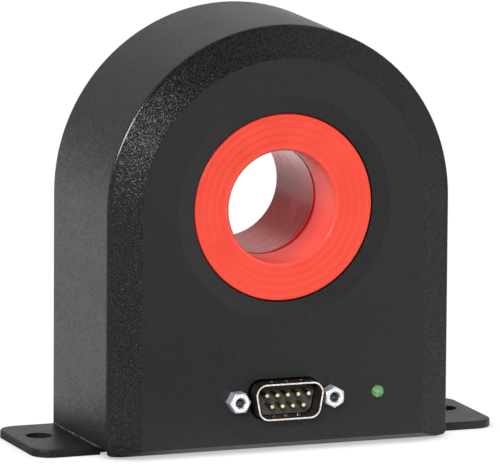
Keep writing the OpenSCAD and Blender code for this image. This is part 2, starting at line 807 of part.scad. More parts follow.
module filter_capacitors() {
    groove_z = 2;
    can_r = cap_d / 2;
    color("#35506f") from_front() for (x = cap_x) translate([x, cap_y, board_top]) rotate_extrude() polygon([
        [0, 0], [can_r, 0], [can_r, groove_z - 0.4], [can_r - 0.4, groove_z], [can_r, groove_z + 0.4],
        [can_r, cap_h - 0.4], [can_r - 0.4, cap_h], [0, cap_h]
    ]);
}

module control_chips() {
    lead_w = 0.45;
    standoff = 0.15;
    color("#28282a") from_front() for (side = [-1, 1]) translate([side * chip_x, chip_y, board_top]) {
        translate([-chip_l / 2, -chip_w / 2, standoff]) cube([chip_l, chip_w, chip_h - standoff]);
        // Gull-wing leads
        for (i = [0:chip_leads - 1], row = [0, 180]) rotate(row)
            translate([(i - (chip_leads - 1) / 2) * chip_lead_pitch - lead_w / 2, chip_w / 2, 0])
                rotate([90, 0, 90]) linear_extrude(lead_w) polygon([
                    [-0.2, 0.95], [0.3, 0.95], [0.55, 0], [1.35, 0],
                    [1.35, 0.25], [0.75, 0.25], [0.5, 1.2], [-0.2, 1.2]
                ]);
    }
}

module head_header() {
    color("#e6e2d6") from_front() translate([0, header_y, board_top]) difference() {
        translate([-header_w / 2, -header_l / 2, 0]) cube([header_w, header_l, header_h]);
        for (i = [0:lead_count - 1])
            translate([0, (i - (lead_count - 1) / 2) * lead_pitch, header_h - lead_socket])
                cylinder(r = lead_r + fit, h = lead_socket + cut);
    }
}

module head_leads() {
    foot_z = board_top + header_h - lead_socket;
    color("#c96f2e") from_front() for (i = [0:lead_count - 1])
        translate([0, header_y + (i - (lead_count - 1) / 2) * lead_pitch, foot_z])
            cylinder(r = lead_r, h = axis_h - head_out - foot_z);
}

// Magnetic head

module front_head_ring() {
    color("#d9d4c4") from_front() ring(bush_r + fit, head_out - ring_inset, seat_boss_y, head_y);
}

module rear_head_ring() {
    color("#d9d4c4") from_front() ring(bush_r + fit, head_out - ring_inset, head_end_y, cover_y);
}

// Toroidal winding, its turns fanned apart towards the outside
module winding(inner, outer, from, to, thick, slots) {
    difference() {
        ring(inner, outer, from, to);
        ring(inner + thick, outer - thick, from + thick, to - thick);
        about_axis() for (i = [0:slots - 1]) rotate(360 * (i + 0.5) / slots)
            translate([(inner + outer) / 2, -turn_gap / 2, from - cut])
                cube([outer - inner, turn_gap, to - from + 2 * cut]);
    }
}

// Half of the shield, a channel-section ring open towards the split
module shield_cup(closed_y, open_y) {
    floor_y = closed_y + (open_y > closed_y ? shield_t : -shield_t);
    about_axis() rotate_extrude() polygon([
        [shield_in, open_y], [shield_in, closed_y], [shield_out, closed_y], [shield_out, open_y],
        [shield_out - shield_t, open_y], [shield_out - shield_t, floor_y],
        [shield_in + shield_t, floor_y], [shield_in + shield_t, open_y]
    ]);
}

module probe_winding(from) {
    winding(probe_in, probe_out, from, from + probe_l, probe_winding_t, 30);
}

module probe_core(from) {
    ring(probe_in + probe_winding_t + fit, probe_out - probe_winding_t - fit,
         from + probe_winding_t, from + probe_l - probe_winding_t);
}

module compensation_winding() {
    color("#b06a34") from_front() winding(head_in, head_out, head_y, head_end_y, winding_t, 36);
}

module shield_cup_front() {
    color("#8c8f92") from_front() shield_cup(shield_y, shield_split_y);
}

module shield_cup_rear() {
    color("#8c8f92") from_front() shield_cup(shield_end_y, shield_split_y);
}

module probe_winding_a() {
    color("#b8763f") from_front() probe_winding(probe_a_y);
}

module probe_core_a() {
    color("#6d7074") from_front() probe_core(probe_a_y);
}

module probe_winding_b() {
    color("#b8763f") from_front() probe_winding(probe_b_y);
}

module probe_core_b() {
    color("#6d7074") from_front() probe_core(probe_b_y);
}

module ripple_core() {
    color("#6d7074") from_front() ring(probe_in, probe_out, ripple_y, ripple_end_y);
}

housing_shell();
rear_cover();
cover_screws();
base_plate();
base_screws();
front_bushing();
rear_bushing();
connector_shell();
connector_body();
connector_pins();
jack_screws();
jack_nuts();
status_led();
led_leads();
main_board();
board_spacers();
board_screws();
transistor_bodies();
transistor_frames();
transistor_pads();
transistor_screws();
filter_capacitors();
control_chips();
head_header();
head_leads();
front_head_ring();
rear_head_ring();
compensation_winding();
shield_cup_front();
shield_cup_rear();
probe_winding_a();
probe_core_a();
probe_winding_b();
probe_core_b();
ripple_core();
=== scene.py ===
"""The current sensor in Blender: finishes for every piece, small pieces of its own, studio and camera."""

import logging
import math
from dataclasses import dataclass
from enum import Enum
from typing import Optional, Sequence, Union

import bmesh
import bpy
from mathutils import Matrix, Vector

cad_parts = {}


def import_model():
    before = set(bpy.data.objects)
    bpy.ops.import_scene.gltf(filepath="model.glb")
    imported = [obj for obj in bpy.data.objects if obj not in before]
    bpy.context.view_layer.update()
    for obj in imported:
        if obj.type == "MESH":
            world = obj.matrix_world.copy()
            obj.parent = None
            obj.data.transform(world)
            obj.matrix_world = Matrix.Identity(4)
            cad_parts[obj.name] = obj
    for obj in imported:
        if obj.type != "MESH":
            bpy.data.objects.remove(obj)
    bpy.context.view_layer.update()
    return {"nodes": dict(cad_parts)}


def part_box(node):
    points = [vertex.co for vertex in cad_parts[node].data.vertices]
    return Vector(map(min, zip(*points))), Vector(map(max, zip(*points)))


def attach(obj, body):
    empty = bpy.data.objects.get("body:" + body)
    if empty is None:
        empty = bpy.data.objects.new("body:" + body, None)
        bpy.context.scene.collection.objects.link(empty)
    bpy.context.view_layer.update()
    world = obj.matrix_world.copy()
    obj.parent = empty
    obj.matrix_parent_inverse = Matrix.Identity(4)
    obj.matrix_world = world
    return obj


LOG = logging.getLogger("current_sensor")
Colour = tuple[float, float, float]
Point = tuple[float, float, float]
SocketInputs = dict[Union[str, int], object]

# Places on the part, in metres
MM = 0.001
PANEL_Y = -28.0 * MM
BORE_AXIS_Z = 61.1 * MM
JACK_PITCH = 24.99 * MM
JACK_Z = 13.3 * MM
JACK_BORE_R = 1.15 * MM
LAMP_X = 25.2 * MM
LAMP_Z = 13.4 * MM

# The run of values that a noise mostly keeps to, and the gloss of both black coats
NOISE_LOW = 0.3
NOISE_HIGH = 0.7
COAT_GLOSS = 0.45


class Wire:
    """An output socket that takes part in Python expressions."""

    def __init__(self, tree: bpy.types.NodeTree, socket: bpy.types.NodeSocket) -> None:
        """Keep the socket and the tree it belongs to.

        Args:
            tree: The node tree that new nodes go into.
            socket: The output socket.
        """
        self.tree = tree
        self.socket = socket

    @property
    def is_number(self) -> bool:
        """Whether the socket carries one number."""
        return self.socket.type in {"VALUE", "INT", "BOOLEAN"}

    def _join(self, operation: str, first: "Operand", second: "Operand") -> "Wire":
        """Add the node for one operation.

        Args:
            operation: The operation's name, the same in Math and Vector Math.
            first: The left side.
            second: The right side.

        Returns:
            The result's wire.
        """
        sheet = NodeSheet(self.tree)
        numbers = all(not isinstance(side, Wire) or side.is_number for side in (first, second))
        plain = all(isinstance(side, (Wire, int, float)) for side in (first, second))
        if numbers and plain:
            return sheet.maths(operation, first, second)
        sides = [(side,) * 3 if isinstance(side, (int, float)) else side for side in (first, second)]
        return sheet.node("ShaderNodeVectorMath", {"operation": operation}, {0: sides[0], 1: sides[1]})

    def __add__(self, other: "Operand") -> "Wire":
        """Self plus other."""
        return self._join("ADD", self, other)

    def __radd__(self, other: "Operand") -> "Wire":
        """Other plus self."""
        return self._join("ADD", other, self)

    def __sub__(self, other: "Operand") -> "Wire":
        """Self minus other."""
        return self._join("SUBTRACT", self, other)

    def __rsub__(self, other: "Operand") -> "Wire":
        """Other minus self."""
        return self._join("SUBTRACT", other, self)

    def __mul__(self, other: "Operand") -> "Wire":
        """Self times other."""
        return self._join("MULTIPLY", self, other)

    def __rmul__(self, other: "Operand") -> "Wire":
        """Other times self."""
        return self._join("MULTIPLY", other, self)

    def __truediv__(self, other: "Operand") -> "Wire":
        """Self divided by other."""
        return self._join("DIVIDE", self, other)

    def __rtruediv__(self, other: "Operand") -> "Wire":
        """Other divided by self."""
        return self._join("DIVIDE", other, self)

    def __pow__(self, other: "Operand") -> "Wire":
        """Self to the power of other."""
        return self._join("POWER", self, other)

    def __rpow__(self, other: "Operand") -> "Wire":
        """Other to the power of self."""
        return self._join("POWER", other, self)

    def __abs__(self) -> "Wire":
        """Self without its sign."""
        return self._join("ABSOLUTE", self, 0.0)


Operand = Union[float, Sequence[float], Wire]
Tone = Union[Colour, Wire]


@dataclass(frozen=True)
class Step:
    """A smooth step: the result goes from start to end while a measure goes from low to high."""

    low: float
    high: float
    start: float = 0.0
    end: float = 1.0


def over_noise(start: float, end: float) -> Step:
    """A step over the run of values that a noise mostly keeps to."""
    return Step(NOISE_LOW, NOISE_HIGH, start, end)


class Ray(Enum):
    """A kind of ray that meets a surface, by its output of the Light Path node."""

    SEEN = "Is Camera Ray"
    MIRRORED = "Is Glossy Ray"
    THROUGH = "Is Transmission Ray"


class NodeSheet:
    """A node tree that nodes are laid out on."""

    def __init__(self, tree: bpy.types.NodeTree) -> None:
        """Keep the tree.

        Args:
            tree: The node tree.
        """
        self.tree = tree

    def node(
        self,
        kind: str,
        settings: Optional[dict[str, object]] = None,
        inputs: Optional[SocketInputs] = None,
        output: Union[str, int] = 0,
    ) -> Wire:
        """Add a node, set it up and connect it.

        Args:
            kind: The node's Blender type.
            settings: Properties that are set first.
            inputs: Values or wires for the sockets, by name or index.
            output: The output that is handed back.

        Returns:
            The wire of the chosen output; a closing node hands back its first socket.
        """
        made = self.tree.nodes.new(kind)
        for key, value in (settings or {}).items():
            setattr(made, key, value)
        for key, value in (inputs or {}).items():
            socket = made.inputs[key]
            if isinstance(value, Wire):
                self.tree.links.new(value.socket, socket)
            elif socket.type == "RGBA" and len(value) == 3:
                socket.default_value = (*value, 1.0)
            else:
                socket.default_value = value
        return Wire(self.tree, made.outputs[output] if made.outputs else made.inputs[0])

    def maths(self, operation: str, first: Operand, second: Operand = 0.0) -> Wire:
        """Add a Math node.

        Args:
            operation: The operation's name.
            first: The first number.
            second: The second number, where the operation takes one.

        Returns:
            The result's wire.
        """
        return self.node("ShaderNodeMath", {"operation": operation}, {0: first, 1: second})

    def place(self) -> Wire:
        """The point on the surface, in the part's own frame."""
        return self.node("ShaderNodeTexCoord", output="Object")

    def facing(self) -> Wire:
        """The surface's direction, in the part's own frame."""
        return self.node("ShaderNodeTexCoord", output="Normal")

    def ray(self, kind: Ray) -> Wire:
        """Whether the ray that meets the surface is of one kind."""
        return self.node("ShaderNodeLightPath", output=kind.value)

    def seen(self) -> Wire:
        """Whether the eye sees the surface, straight or through something clear."""
        return self.maths("MAXIMUM", self.ray(Ray.SEEN), self.ray(Ray.THROUGH))

    def split(self, vector: Wire) -> tuple[Wire, Wire, Wire]:
        """Take a vector apart.

        Args:
            vector: The vector's wire.

        Returns:
            Its X, Y and Z.
        """
        first = self.node("ShaderNodeSeparateXYZ", inputs={0: vector})
        outputs = first.socket.node.outputs
        return first, Wire(self.tree, outputs[1]), Wire(self.tree, outputs[2])

    @staticmethod
    def length(across: Wire, up: Wire) -> Wire:
        """The length of a line from its two parts at right angles."""
        return (across * across + up * up) ** 0.5

    def noise(self, place: Wire, grain: float, detail: float = 2.0, roughness: float = 0.5) -> Wire:
        """A noise whose blobs have a stated size.

        Args:
            place: The point to read it at.
            grain: The size of a blob, in metres.
            detail: Octaves.
            roughness: The share each finer octave has.

        Returns:
            A number about 0.5.
        """
        return self.node(
            "ShaderNodeTexNoise",
            inputs={"Vector": place, "Scale": 1.0 / grain, "Detail": detail, "Roughness": roughness},
        )

    def lines(self, place: Wire, width: float, stretch: float) -> Wire:
        """Fine lines from front to back, as drawing and turning leave them on metal.

        Args:
            place: The point to read it at.
            width: The width of a line, in metres.
            stretch: How much a distance along the lines counts, below 1.

        Returns:
            A number about 0.5.
        """
        return self.noise(place * (1.0, stretch, 1.0), width, 2.0, 0.6)

    def cells(self, place: Wire, size: float, output: str) -> Wire:
        """Cells of a stated size.

        Args:
            place: The point to read it at.
            size: The size of a cell, in metres.
            output: Distance for the distance to the cell's point in cells, Color for a colour per cell.

        Returns:
            The wire of that output.
        """
        inputs: SocketInputs = {"Vector": place, "Scale": 1.0 / size}
        return self.node("ShaderNodeTexVoronoi", inputs=inputs, output=output)

    def ramp(self, value: Wire, step: Step) -> Wire:
        """Take a value through a smooth step.

        Args:
            value: What is measured.
            step: The step.

        Returns:
            The result's wire.
        """
        return self.node(
            "ShaderNodeMapRange",
            {"interpolation_type": "SMOOTHSTEP"},
            {
                "Value": value,
                "From Min": step.low,
                "From Max": step.high,
                "To Min": step.start,
                "To Max": step.end,
            },
        )

    def blend(self, share: Wire, first: Tone, second: Tone) -> Wire:
        """Mix two colours.

        Args:
            share: The second colour's share.
            first: The colour at 0.
            second: The colour at 1.

        Returns:
            The mixed colour.
        """
        inputs: SocketInputs = {0: share, 6: first, 7: second}
        return self.node("ShaderNodeMix", {"data_type": "RGBA"}, inputs, output=2)

    def layers(self, ground: Tone, *coats: tuple[Wire, Tone]) -> Wire:
        """Lay colours over each other.

        Args:
            ground: The lowest colour.
            coats: Each further colour with its share, from below to above; at least one.

        Returns:
            The colour that shows.
        """
        shown = ground
        for share, tone in coats:
            shown = self.blend(share, shown, tone)
        return shown

    def bump(self, height: Wire, depth: float, under: Optional[Wire] = None) -> Wire:
        """Turn a height into a direction for the shader.

        Args:
            height: A number from 0 to 1.
            depth: The height at 1, in metres.
            under: The direction that this one adds to, if not the surface's own.

        Returns:
            The bumped direction.
        """
        inputs: SocketInputs = {"Height": height, "Distance": depth, "Strength": 1.0}
        if under is not None:
            inputs["Normal"] = under
        return self.node("ShaderNodeBump", inputs=inputs)

    def flakes(self, place: Wire, size: float, tilt: Wire) -> Wire:
        """Break the surface into small facets, each leaning its own way.

        Args:
            place: The point to read it at.
            size: The size of a facet, in metres.
            tilt: How far the facets lean, as a number on the surface.

        Returns:
            The direction of the facet.
        """
        lean = self.cells(place, size, "Color") - (0.5, 0.5, 0.5)
        leaning = self.node("ShaderNodeNewGeometry", output="Normal") + lean * tilt
        return self.node("ShaderNodeVectorMath", {"operation": "NORMALIZE"}, {0: leaning})

    def shader(self, inputs: SocketInputs) -> Wire:
        """A Principled shader with its sockets filled by name."""
        return self.node("ShaderNodeBsdfPrincipled", inputs=inputs)


@dataclass(frozen=True)
class Finish:
    """What a surface is finished with; makes one material."""

    name: str

    def surface(self, sheet: NodeSheet) -> Wire:
        """Lay out the finish.

        Args:
            sheet: The sheet the nodes go on.

        Returns:
            The shader's wire.
        """
        raise NotImplementedError

    def material(self) -> bpy.types.Material:
        """Make the material.

        Returns:
            The material, with its nodes laid out.
        """
        made = bpy.data.materials.new(self.name)
        made.use_nodes = True
        made.node_tree.nodes.clear()
        sheet = NodeSheet(made.node_tree)
        sheet.node("ShaderNodeOutputMaterial", inputs={"Surface": self.surface(sheet)})
        return made


# Finishes of the outer pieces


@dataclass(frozen=True)
class ZoneShare:
    """How strong something is on the housing, with what its wall, bevel and flat front add."""

    shell: float
    wall: float
    bevel: float
    front: float = 0.0

    def beside_front(self, wall: Wire, bevel: Wire) -> Wire:
        """The strength beside the flat front, from the shares of wall and bevel."""
        return self.shell + self.wall * wall + self.bevel * bevel


@dataclass(frozen=True)
class HousingCoat(Finish):
    """Black coat on the housing: fine grain in front, coarse on the bevel, softer on the walls."""

    front: Colour = (0.0140, 0.0140, 0.0138)
    bevel: Colour = (0.0068, 0.0069, 0.0076)
    wall: Colour = (0.0110, 0.0109, 0.0106)
    # Pale line along the walls' bottom edge: a painted highlight
    bare_and_highlight: Colour = (0.095, 0.093, 0.090)
    front_y: Step = Step(PANEL_Y + 2.0 * MM, PANEL_Y + 1.5 * MM)
    front_slope: Step = Step(-0.93, -0.95)
    bevel_slope: Step = Step(-0.55, -0.75)
    wall_slope: Step = Step(0.8, 0.95)
    arris_y: float = -24.1 * MM
    arris_w: Step = Step(0.7 * MM, 0.1 * MM)
    low_z: Step = Step(10.0 * MM, 2.0 * MM)
    highlight_z: float = 2.12 * MM
    highlight_w: Step = Step(0.18 * MM, 0.08 * MM)
    highlight_y: Step = Step(-20.5 * MM, -17.5 * MM)
    grain: float = 0.36 * MM
    flake: float = 0.25 * MM
    cloud: float = 9.0 * MM
    relief: float = 0.075 * MM
    mottle: ZoneShare = ZoneShare(3.0, 6.0, 4.0, 2.4)
    height: ZoneShare = ZoneShare(0.3, 0.0, 0.7, 0.36)
    lean: ZoneShare = ZoneShare(0.12, 0.10, 0.13)
    roughness: ZoneShare = ZoneShare(0.34, 0.0, -0.11, 0.02)
    arris_calm: float = 0.85
    arris_polish: float = 0.06
    # Painted shade on the walls towards the plate
    low_dark: float = 0.6
    low_dull: float = 0.15
    cloud_tint: float = 0.2
    cloud_dull: float = 0.1

    def surface(self, sheet: NodeSheet) -> Wire:
        """Lay out the coat.

        Args:
            sheet: The sheet the nodes go on.

        Returns:
            The shader's wire.
        """
        place = sheet.place()
        _, y, z = sheet.split(place)
        nx, ny, _ = sheet.split(sheet.facing())
        # Zones of the housing
        front = sheet.ramp(y, self.front_y) * sheet.ramp(ny, self.front_slope)
        beside = 1 - front
        steep = sheet.ramp(ny, self.bevel_slope)
        bevel = beside * steep
        arris = sheet.ramp(abs(y - self.arris_y), self.arris_w) * beside
        calm = 1 - self.arris_calm * arris
        wall = sheet.ramp(abs(nx), self.wall_slope)
        # Walls towards the plate: painted shade, a duller coat and calmer facets
        low = sheet.ramp(z, self.low_z) * wall
        # Painted highlight: a thin pale line along the walls just above the plate, fading out towards the
        # front
        rubbed_and_highlight = sheet.ramp(abs(z - self.highlight_z), self.highlight_w) * wall * sheet.ramp(y, self.highlight_y)
        # Grain of the powder, and what it does to colour, gloss and relief
        coarse = (sheet.noise(place, self.grain, 1.0) - 0.5) * beside
        fine = (sheet.noise(place, self.grain, 2.0, 0.6) - 0.5) * front
        cloud = sheet.noise(place, self.cloud, 3.0) - 0.5
        colour = sheet.layers(self.wall, (steep, self.bevel), (front, self.front))
        # The walls are darkened towards the plate as painted shade, and the painted highlight line is
        # laid over that
        colour = sheet.blend(rubbed_and_highlight, colour * (1 - self.low_dark * low), self.bare_and_highlight)
        tint = 1 + coarse * self.mottle.beside_front(wall, bevel) + fine * self.mottle.front
        rough = self.roughness.beside_front(wall, bevel) + self.roughness.front * front
        rough = rough - self.arris_polish * arris + self.low_dull * low
        height = coarse * self.height.beside_front(wall, bevel) * calm + fine * self.height.front
        tilt = self.lean.beside_front(wall - low, bevel) * beside * calm
        facets = sheet.flakes(place, self.flake, tilt)
        return sheet.shader(
            {
                "Base Color": colour * (tint + self.cloud_tint * cloud),
                "Roughness": rough + self.cloud_dull * cloud,
                "Specular IOR Level": COAT_GLOSS,
                "Normal": sheet.bump(height, self.relief, facets),
            }
        )


@dataclass(frozen=True)
class PlateCoat(Finish):
    """Black coat on sheet metal: rubbed places, painted shade on the hole walls, and corners at the
    housing that are calmer and painted darker as shade.
    """

    colour: Colour = (0.0110, 0.0109, 0.0107)
    rubbed_and_highlight: Colour = (0.022, 0.0215, 0.021)
    shade: Colour = (0.003, 0.003, 0.003)
    hole_x: float = 54.35 * MM
    hole_r: Step = Step(3.45 * MM, 3.28 * MM)
    corner_x: Step = Step(54.25 * MM, 45.25 * MM)
    corner_calm: float = 0.85
    corner_dark: float = 0.7
    grain: float = 0.4 * MM
    flake: float = 0.25 * MM
    lean: float = 0.22
    relief: float = 0.08 * MM
    cloud: float = 7.0 * MM
    rub: Step = Step(0.5, 0.75)
    rub_share: float = 0.6
    rub_polish: float = 0.06
    roughness: float = 0.36
    hole_dull: float = 0.5

    def surface(self, sheet: NodeSheet) -> Wire:
        """Lay out the coat.

        Args:
            sheet: The sheet the nodes go on.

        Returns:
            The shader's wire.
        """
        place = sheet.place()
        x, y, _ = sheet.split(place)
        hole = sheet.ramp(sheet.length(abs(x) - self.hole_x, y), self.hole_r)
        corner = sheet.ramp(abs(x), self.corner_x)
        calm = 1 - self.corner_calm * corner
        grain = sheet.noise(place, self.grain, 1.0) - 0.5
        rub = sheet.ramp(sheet.noise(place, self.cloud, 4.0, 0.6), self.rub)
        colour = sheet.blend(rub * self.rub_share, self.colour, self.rubbed_and_highlight) * (1 + grain)
        # Painted shade: darker towards the housing wall
        colour = colour * (1 - self.corner_dark * corner)
        facets = sheet.flakes(place, self.flake, calm * self.lean)
        return sheet.shader(
            {
                # Painted shade on the walls of the holes
                "Base Color": sheet.blend(hole, colour, self.shade),
                "Roughness": self.roughness - self.rub_polish * rub + self.hole_dull * hole,
                "Specular IOR Level": COAT_GLOSS,
                "Normal": sheet.bump(grain * calm, self.relief, facets),
            }
        )


@dataclass(frozen=True)
class RedPlastic(Finish):
    """Red moulded plastic, scuffed and hazy down the bore, with painted light: paler at the mouth,
    painted shade and sheen behind the seam, painted shade in the seam and at the flange's edge.
    """

    colour: Colour = (0.84, 0.076, 0.048)
    deep: Colour = (0.79, 0.066, 0.041)
    # The next colours paint light and shade in the bore and at the flange's edge; the scuff colour also
    # carries a painted reflection
    pale: Colour = (0.92, 0.082, 0.058)
    haze_and_shade: Colour = (0.25, 0.006, 0.005)
    painted_sheen: Colour = (0.98, 0.28, 0.25)
    side: Colour = (0.20, 0.008, 0.005)
    scuff_and_sheen: Colour = (0.70, 0.36, 0.34)
    shade: Colour = (0.45, 0.002, 0.001)
    axis_z: float = BORE_AXIS_Z
    bore_r: Step = Step(14.6 * MM, 14.2 * MM)
    lip_r: Step = Step(15.2 * MM, 14.9 * MM)
    side_r: Step = Step(23.05 * MM, 23.4 * MM)
    mouth_y: Step = Step(-25.8 * MM, -21.8 * MM)
    rear_bore_y: Step = Step(-14.25 * MM, -11.75 * MM)
    seam_y: float = -11.75 * MM
    seam_w: Step = Step(1.25 * MM, 0.85 * MM)
    seam_r: Step = Step(15.5 * MM, 15.3 * MM)
    sheen_above: Step = Step(-1.0 * MM, 11.0 * MM, 0.0, 0.95)
    sheen_below: Step = Step(-10.0 * MM, -14.0 * MM, 0.0, 0.3)
    streak_w: float = 0.9 * MM
    streak_turn: float = 1.2 * MM
    streak_share: Step = Step(0.48, 0.72, 0.0, 0.12)
    streak_sheen_below: Step = Step(-11.0 * MM, -13.6 * MM, 1.0, 5.0)
    cloud: float = 8.0 * MM
    drift: Step = over_noise(0.0, 1.0)
    grain: float = 0.18 * MM
    grain_height: float = 0.35
    relief: float = 0.03 * MM
    roughness: float = 0.38
    grain_dull: float = 0.1
    gloss: float = 0.35
    lip_polish: float = 0.20
    lip_roughness: float = 0.10
    rear_bore_polish: float = 0.37
    streak_dull: float = 0.5

    def surface(self, sheet: NodeSheet) -> Wire:
        """Lay out the plastic.

        Args:
            sheet: The sheet the nodes go on.

        Returns:
            The shader's wire.
        """
        place = sheet.place()
        x, y, z = sheet.split(place)
        up = z - self.axis_z
        radius = sheet.length(x, up)
        angle = sheet.maths("ARCTAN2", up, x)
        # Streaks run round the bore, because an angle counts for little
        around = sheet.node("ShaderNodeCombineXYZ", inputs={0: angle * self.streak_turn, 1: y, 2: radius})
        streak = sheet.noise(around, self.streak_w, 3.0, 0.7)
        cloud = sheet.noise(place, self.cloud)
        grain = sheet.noise(place, self.grain) - 0.5
        inside = sheet.ramp(radius, self.bore_r)
        lip = sheet.ramp(radius, self.lip_r) * (1 - inside)
        rear_bore = inside * sheet.ramp(y, self.rear_bore_y)
        # Where a painted sheen lies, at the top and the bottom of the bore
        painted_sheen = sheet.ramp(up, self.sheen_above) + sheet.ramp(up, self.sheen_below)
        # Streaks, strengthened at the bottom as a painted reflection
        streak_share = sheet.ramp(streak, self.streak_share) * sheet.ramp(up, self.streak_sheen_below)
        colour = sheet.layers(
            self.deep,
            (sheet.ramp(cloud, self.drift), self.colour),
            # Painted light: paler towards the front of the bore
            (inside * sheet.ramp(y, self.mouth_y), self.pale),
            # Painted shade: darker behind the seam
            (rear_bore, self.haze_and_shade),
            # Painted sheen above and below, behind the seam
            (rear_bore * painted_sheen, self.painted_sheen),
            # Scuffed streaks, made stronger low down as a painted reflection
            (rear_bore * streak_share, self.scuff_and_sheen),
            (sheet.ramp(abs(y - self.seam_y), self.seam_w) * sheet.ramp(radius, self.seam_r), self.shade),
            # Painted shade round the flange's edge
            (sheet.ramp(radius, self.side_r), self.side),
        )
        rough = self.roughness + self.grain_dull * grain - self.lip_polish * lip
        return sheet.shader(
            {
                "Base Color": colour,
                "Roughness": rough + rear_bore * (self.streak_dull * streak - self.rear_bore_polish),
                "Specular IOR Level": self.gloss,
                "Coat Weight": lip,
                "Coat Roughness": self.lip_roughness,
                "Normal": sheet.bump(grain * self.grain_height + cloud, self.relief),
            }
        )


@dataclass(frozen=True)
class PlatedMetal(Finish):
    """Plated or bare metal: tone drifts, faint scratches and a little tarnish."""

    colour: Colour
    dull: Colour
    roughness: float
    scratch: float = 0.09 * MM
    stretch: float = 0.08
    cloud: float = 1.6 * MM
    spots: Step = Step(0.46, 0.72)
    tarnish: float = 0.35
    spot_dull: float = 0.12
    relief: float = 0.006 * MM
    tint: Step = over_noise(0.93, 1.05)
    dulling: Step = over_noise(-0.04, 0.04)

    def surface(self, sheet: NodeSheet) -> Wire:
        """Lay out the metal.

        Args:
            sheet: The sheet the nodes go on.

        Returns:
            The shader's wire.
        """
        place = sheet.place()
        lines = sheet.lines(place, self.scratch, self.stretch)
        spots = sheet.ramp(sheet.noise(place, self.cloud, 4.0, 0.6), self.spots)
        colour = sheet.blend(spots * self.tarnish, self.colour, self.dull)
        return sheet.shader(
            {
                "Base Color": colour * sheet.ramp(lines, self.tint),
                "Metallic": 1.0,
                "Roughness": self.roughness + spots * self.spot_dull + sheet.ramp(lines, self.dulling),
                "Normal": sheet.bump(lines, self.relief),
            }
        )


@dataclass(frozen=True)
class ShellNickel(Finish):
    """Plated pressed steel: its rolled rim painted bright as a highlight, its walls painted dark brown as
    shade, and painted shade where it meets the panel.
    """

    rim: Colour = (0.97, 0.89, 0.84)
    wall: Colour = (0.27, 0.21, 0.165)
    shade: Colour = (0.020, 0.016, 0.014)
    edge_r: float = 0.16 * MM
    edge_samples: int = 8
    rim_slope: Step = Step(-0.90, -0.98)
    rim_y: Step = Step(-32.3 * MM, -32.5 * MM)
    root_y: Step = Step(PANEL_Y - 0.6 * MM, PANEL_Y + 0.2 * MM)
    cloud: float = 0.9 * MM
    scratch: float = 0.2 * MM
    stretch: float = 0.15
    relief: float = 0.006 * MM
    tint: Step = over_noise(0.8, 1.15)
    rim_pale: float = 0.75
    roughness: float = 0.34
    dulling: Step = over_noise(-0.06, 0.06)

    def surface(self, sheet: NodeSheet) -> Wire:
        """Lay out the metal.

        Args:
            sheet: The sheet the nodes go on.

        Returns:
            The shader's wire.
        """
        place = sheet.place()
        _, y, _ = sheet.split(place)
        edge = sheet.node("ShaderNodeBevel", {"samples": self.edge_samples}, {"Radius": self.edge_r})
        _, ny, _ = sheet.split(edge)
        rim = sheet.ramp(ny, self.rim_slope) * sheet.ramp(y, self.rim_y)
        cloud = sheet.noise(place, self.cloud, 4.0, 0.6)
        lines = sheet.lines(place, self.scratch, self.stretch)
        # Painted shade on the walls and at the root by the panel, and a painted highlight on the rim
        colour = sheet.layers(self.wall, (sheet.ramp(y, self.root_y), self.shade), (rim, self.rim))
        return sheet.shader(
            {
                "Base Color": colour * sheet.ramp(cloud, self.tint),
                "Metallic": 1.0 - self.rim_pale * rim,
                "Roughness": self.roughness + sheet.ramp(lines, self.dulling),
                "Normal": sheet.bump(lines, self.relief),
            }
        )


@dataclass(frozen=True)
class JackZinc(Finish):
    """Zinc plate on the jack screws: faces painted pale as a highlight, blue-grey flats and painted shade
    in the bore.
    """

    face: Colour = (0.97, 0.97, 0.96)
    flat: Colour = (0.55, 0.60, 0.66)
    bore: Colour = (0.20, 0.215, 0.225)
    axis_x: float = 0.5 * JACK_PITCH
    axis_z: float = JACK_Z
    face_slope: Step = Step(-0.8, -0.95)
    cone_r: Step = Step(JACK_BORE_R + 0.385 * MM, JACK_BORE_R + 0.315 * MM)
    bore_r: Step = Step(JACK_BORE_R + 0.07 * MM, JACK_BORE_R)
    cloud: float = 1.2 * MM
    stain: Step = Step(0.3, 0.75, 1.05, 0.85)
    scratch: float = 0.12 * MM
    stretch: float = 0.1
    relief: float = 0.006 * MM
    metal: float = 0.55
    face_pale: float = 0.50
    roughness: float = 0.36
    dulling: Step = over_noise(-0.05, 0.05)
    bore_dull: float = 0.2

    def surface(self, sheet: NodeSheet) -> Wire:
        """Lay out the metal.

        Args:
            sheet: The sheet the nodes go on.

        Returns:
            The shader's wire.
        """
        place = sheet.place()
        x, _, z = sheet.split(place)
        _, ny, _ = sheet.split(sheet.facing())
        radius = sheet.length(abs(x) - self.axis_x, z - self.axis_z)
        face = sheet.ramp(ny, self.face_slope)
        cone = sheet.ramp(radius, self.cone_r)
        bore = sheet.ramp(radius, self.bore_r)
        cloud = sheet.noise(place, self.cloud, 4.0, 0.6)
        lines = sheet.lines(place, self.scratch, self.stretch)
        # Painted highlight on the faces and painted shade in the bores
        colour = sheet.layers(self.flat, (face, self.face), (cone, self.flat), (bore, self.bore))
        return sheet.shader(
            {
                "Base Color": colour * sheet.ramp(cloud, self.stain),
                "Metallic": self.metal - self.face_pale * face,
                "Roughness": self.roughness + sheet.ramp(lines, self.dulling) + self.bore_dull * bore,
                "Normal": sheet.bump(lines, self.relief),
            }
        )


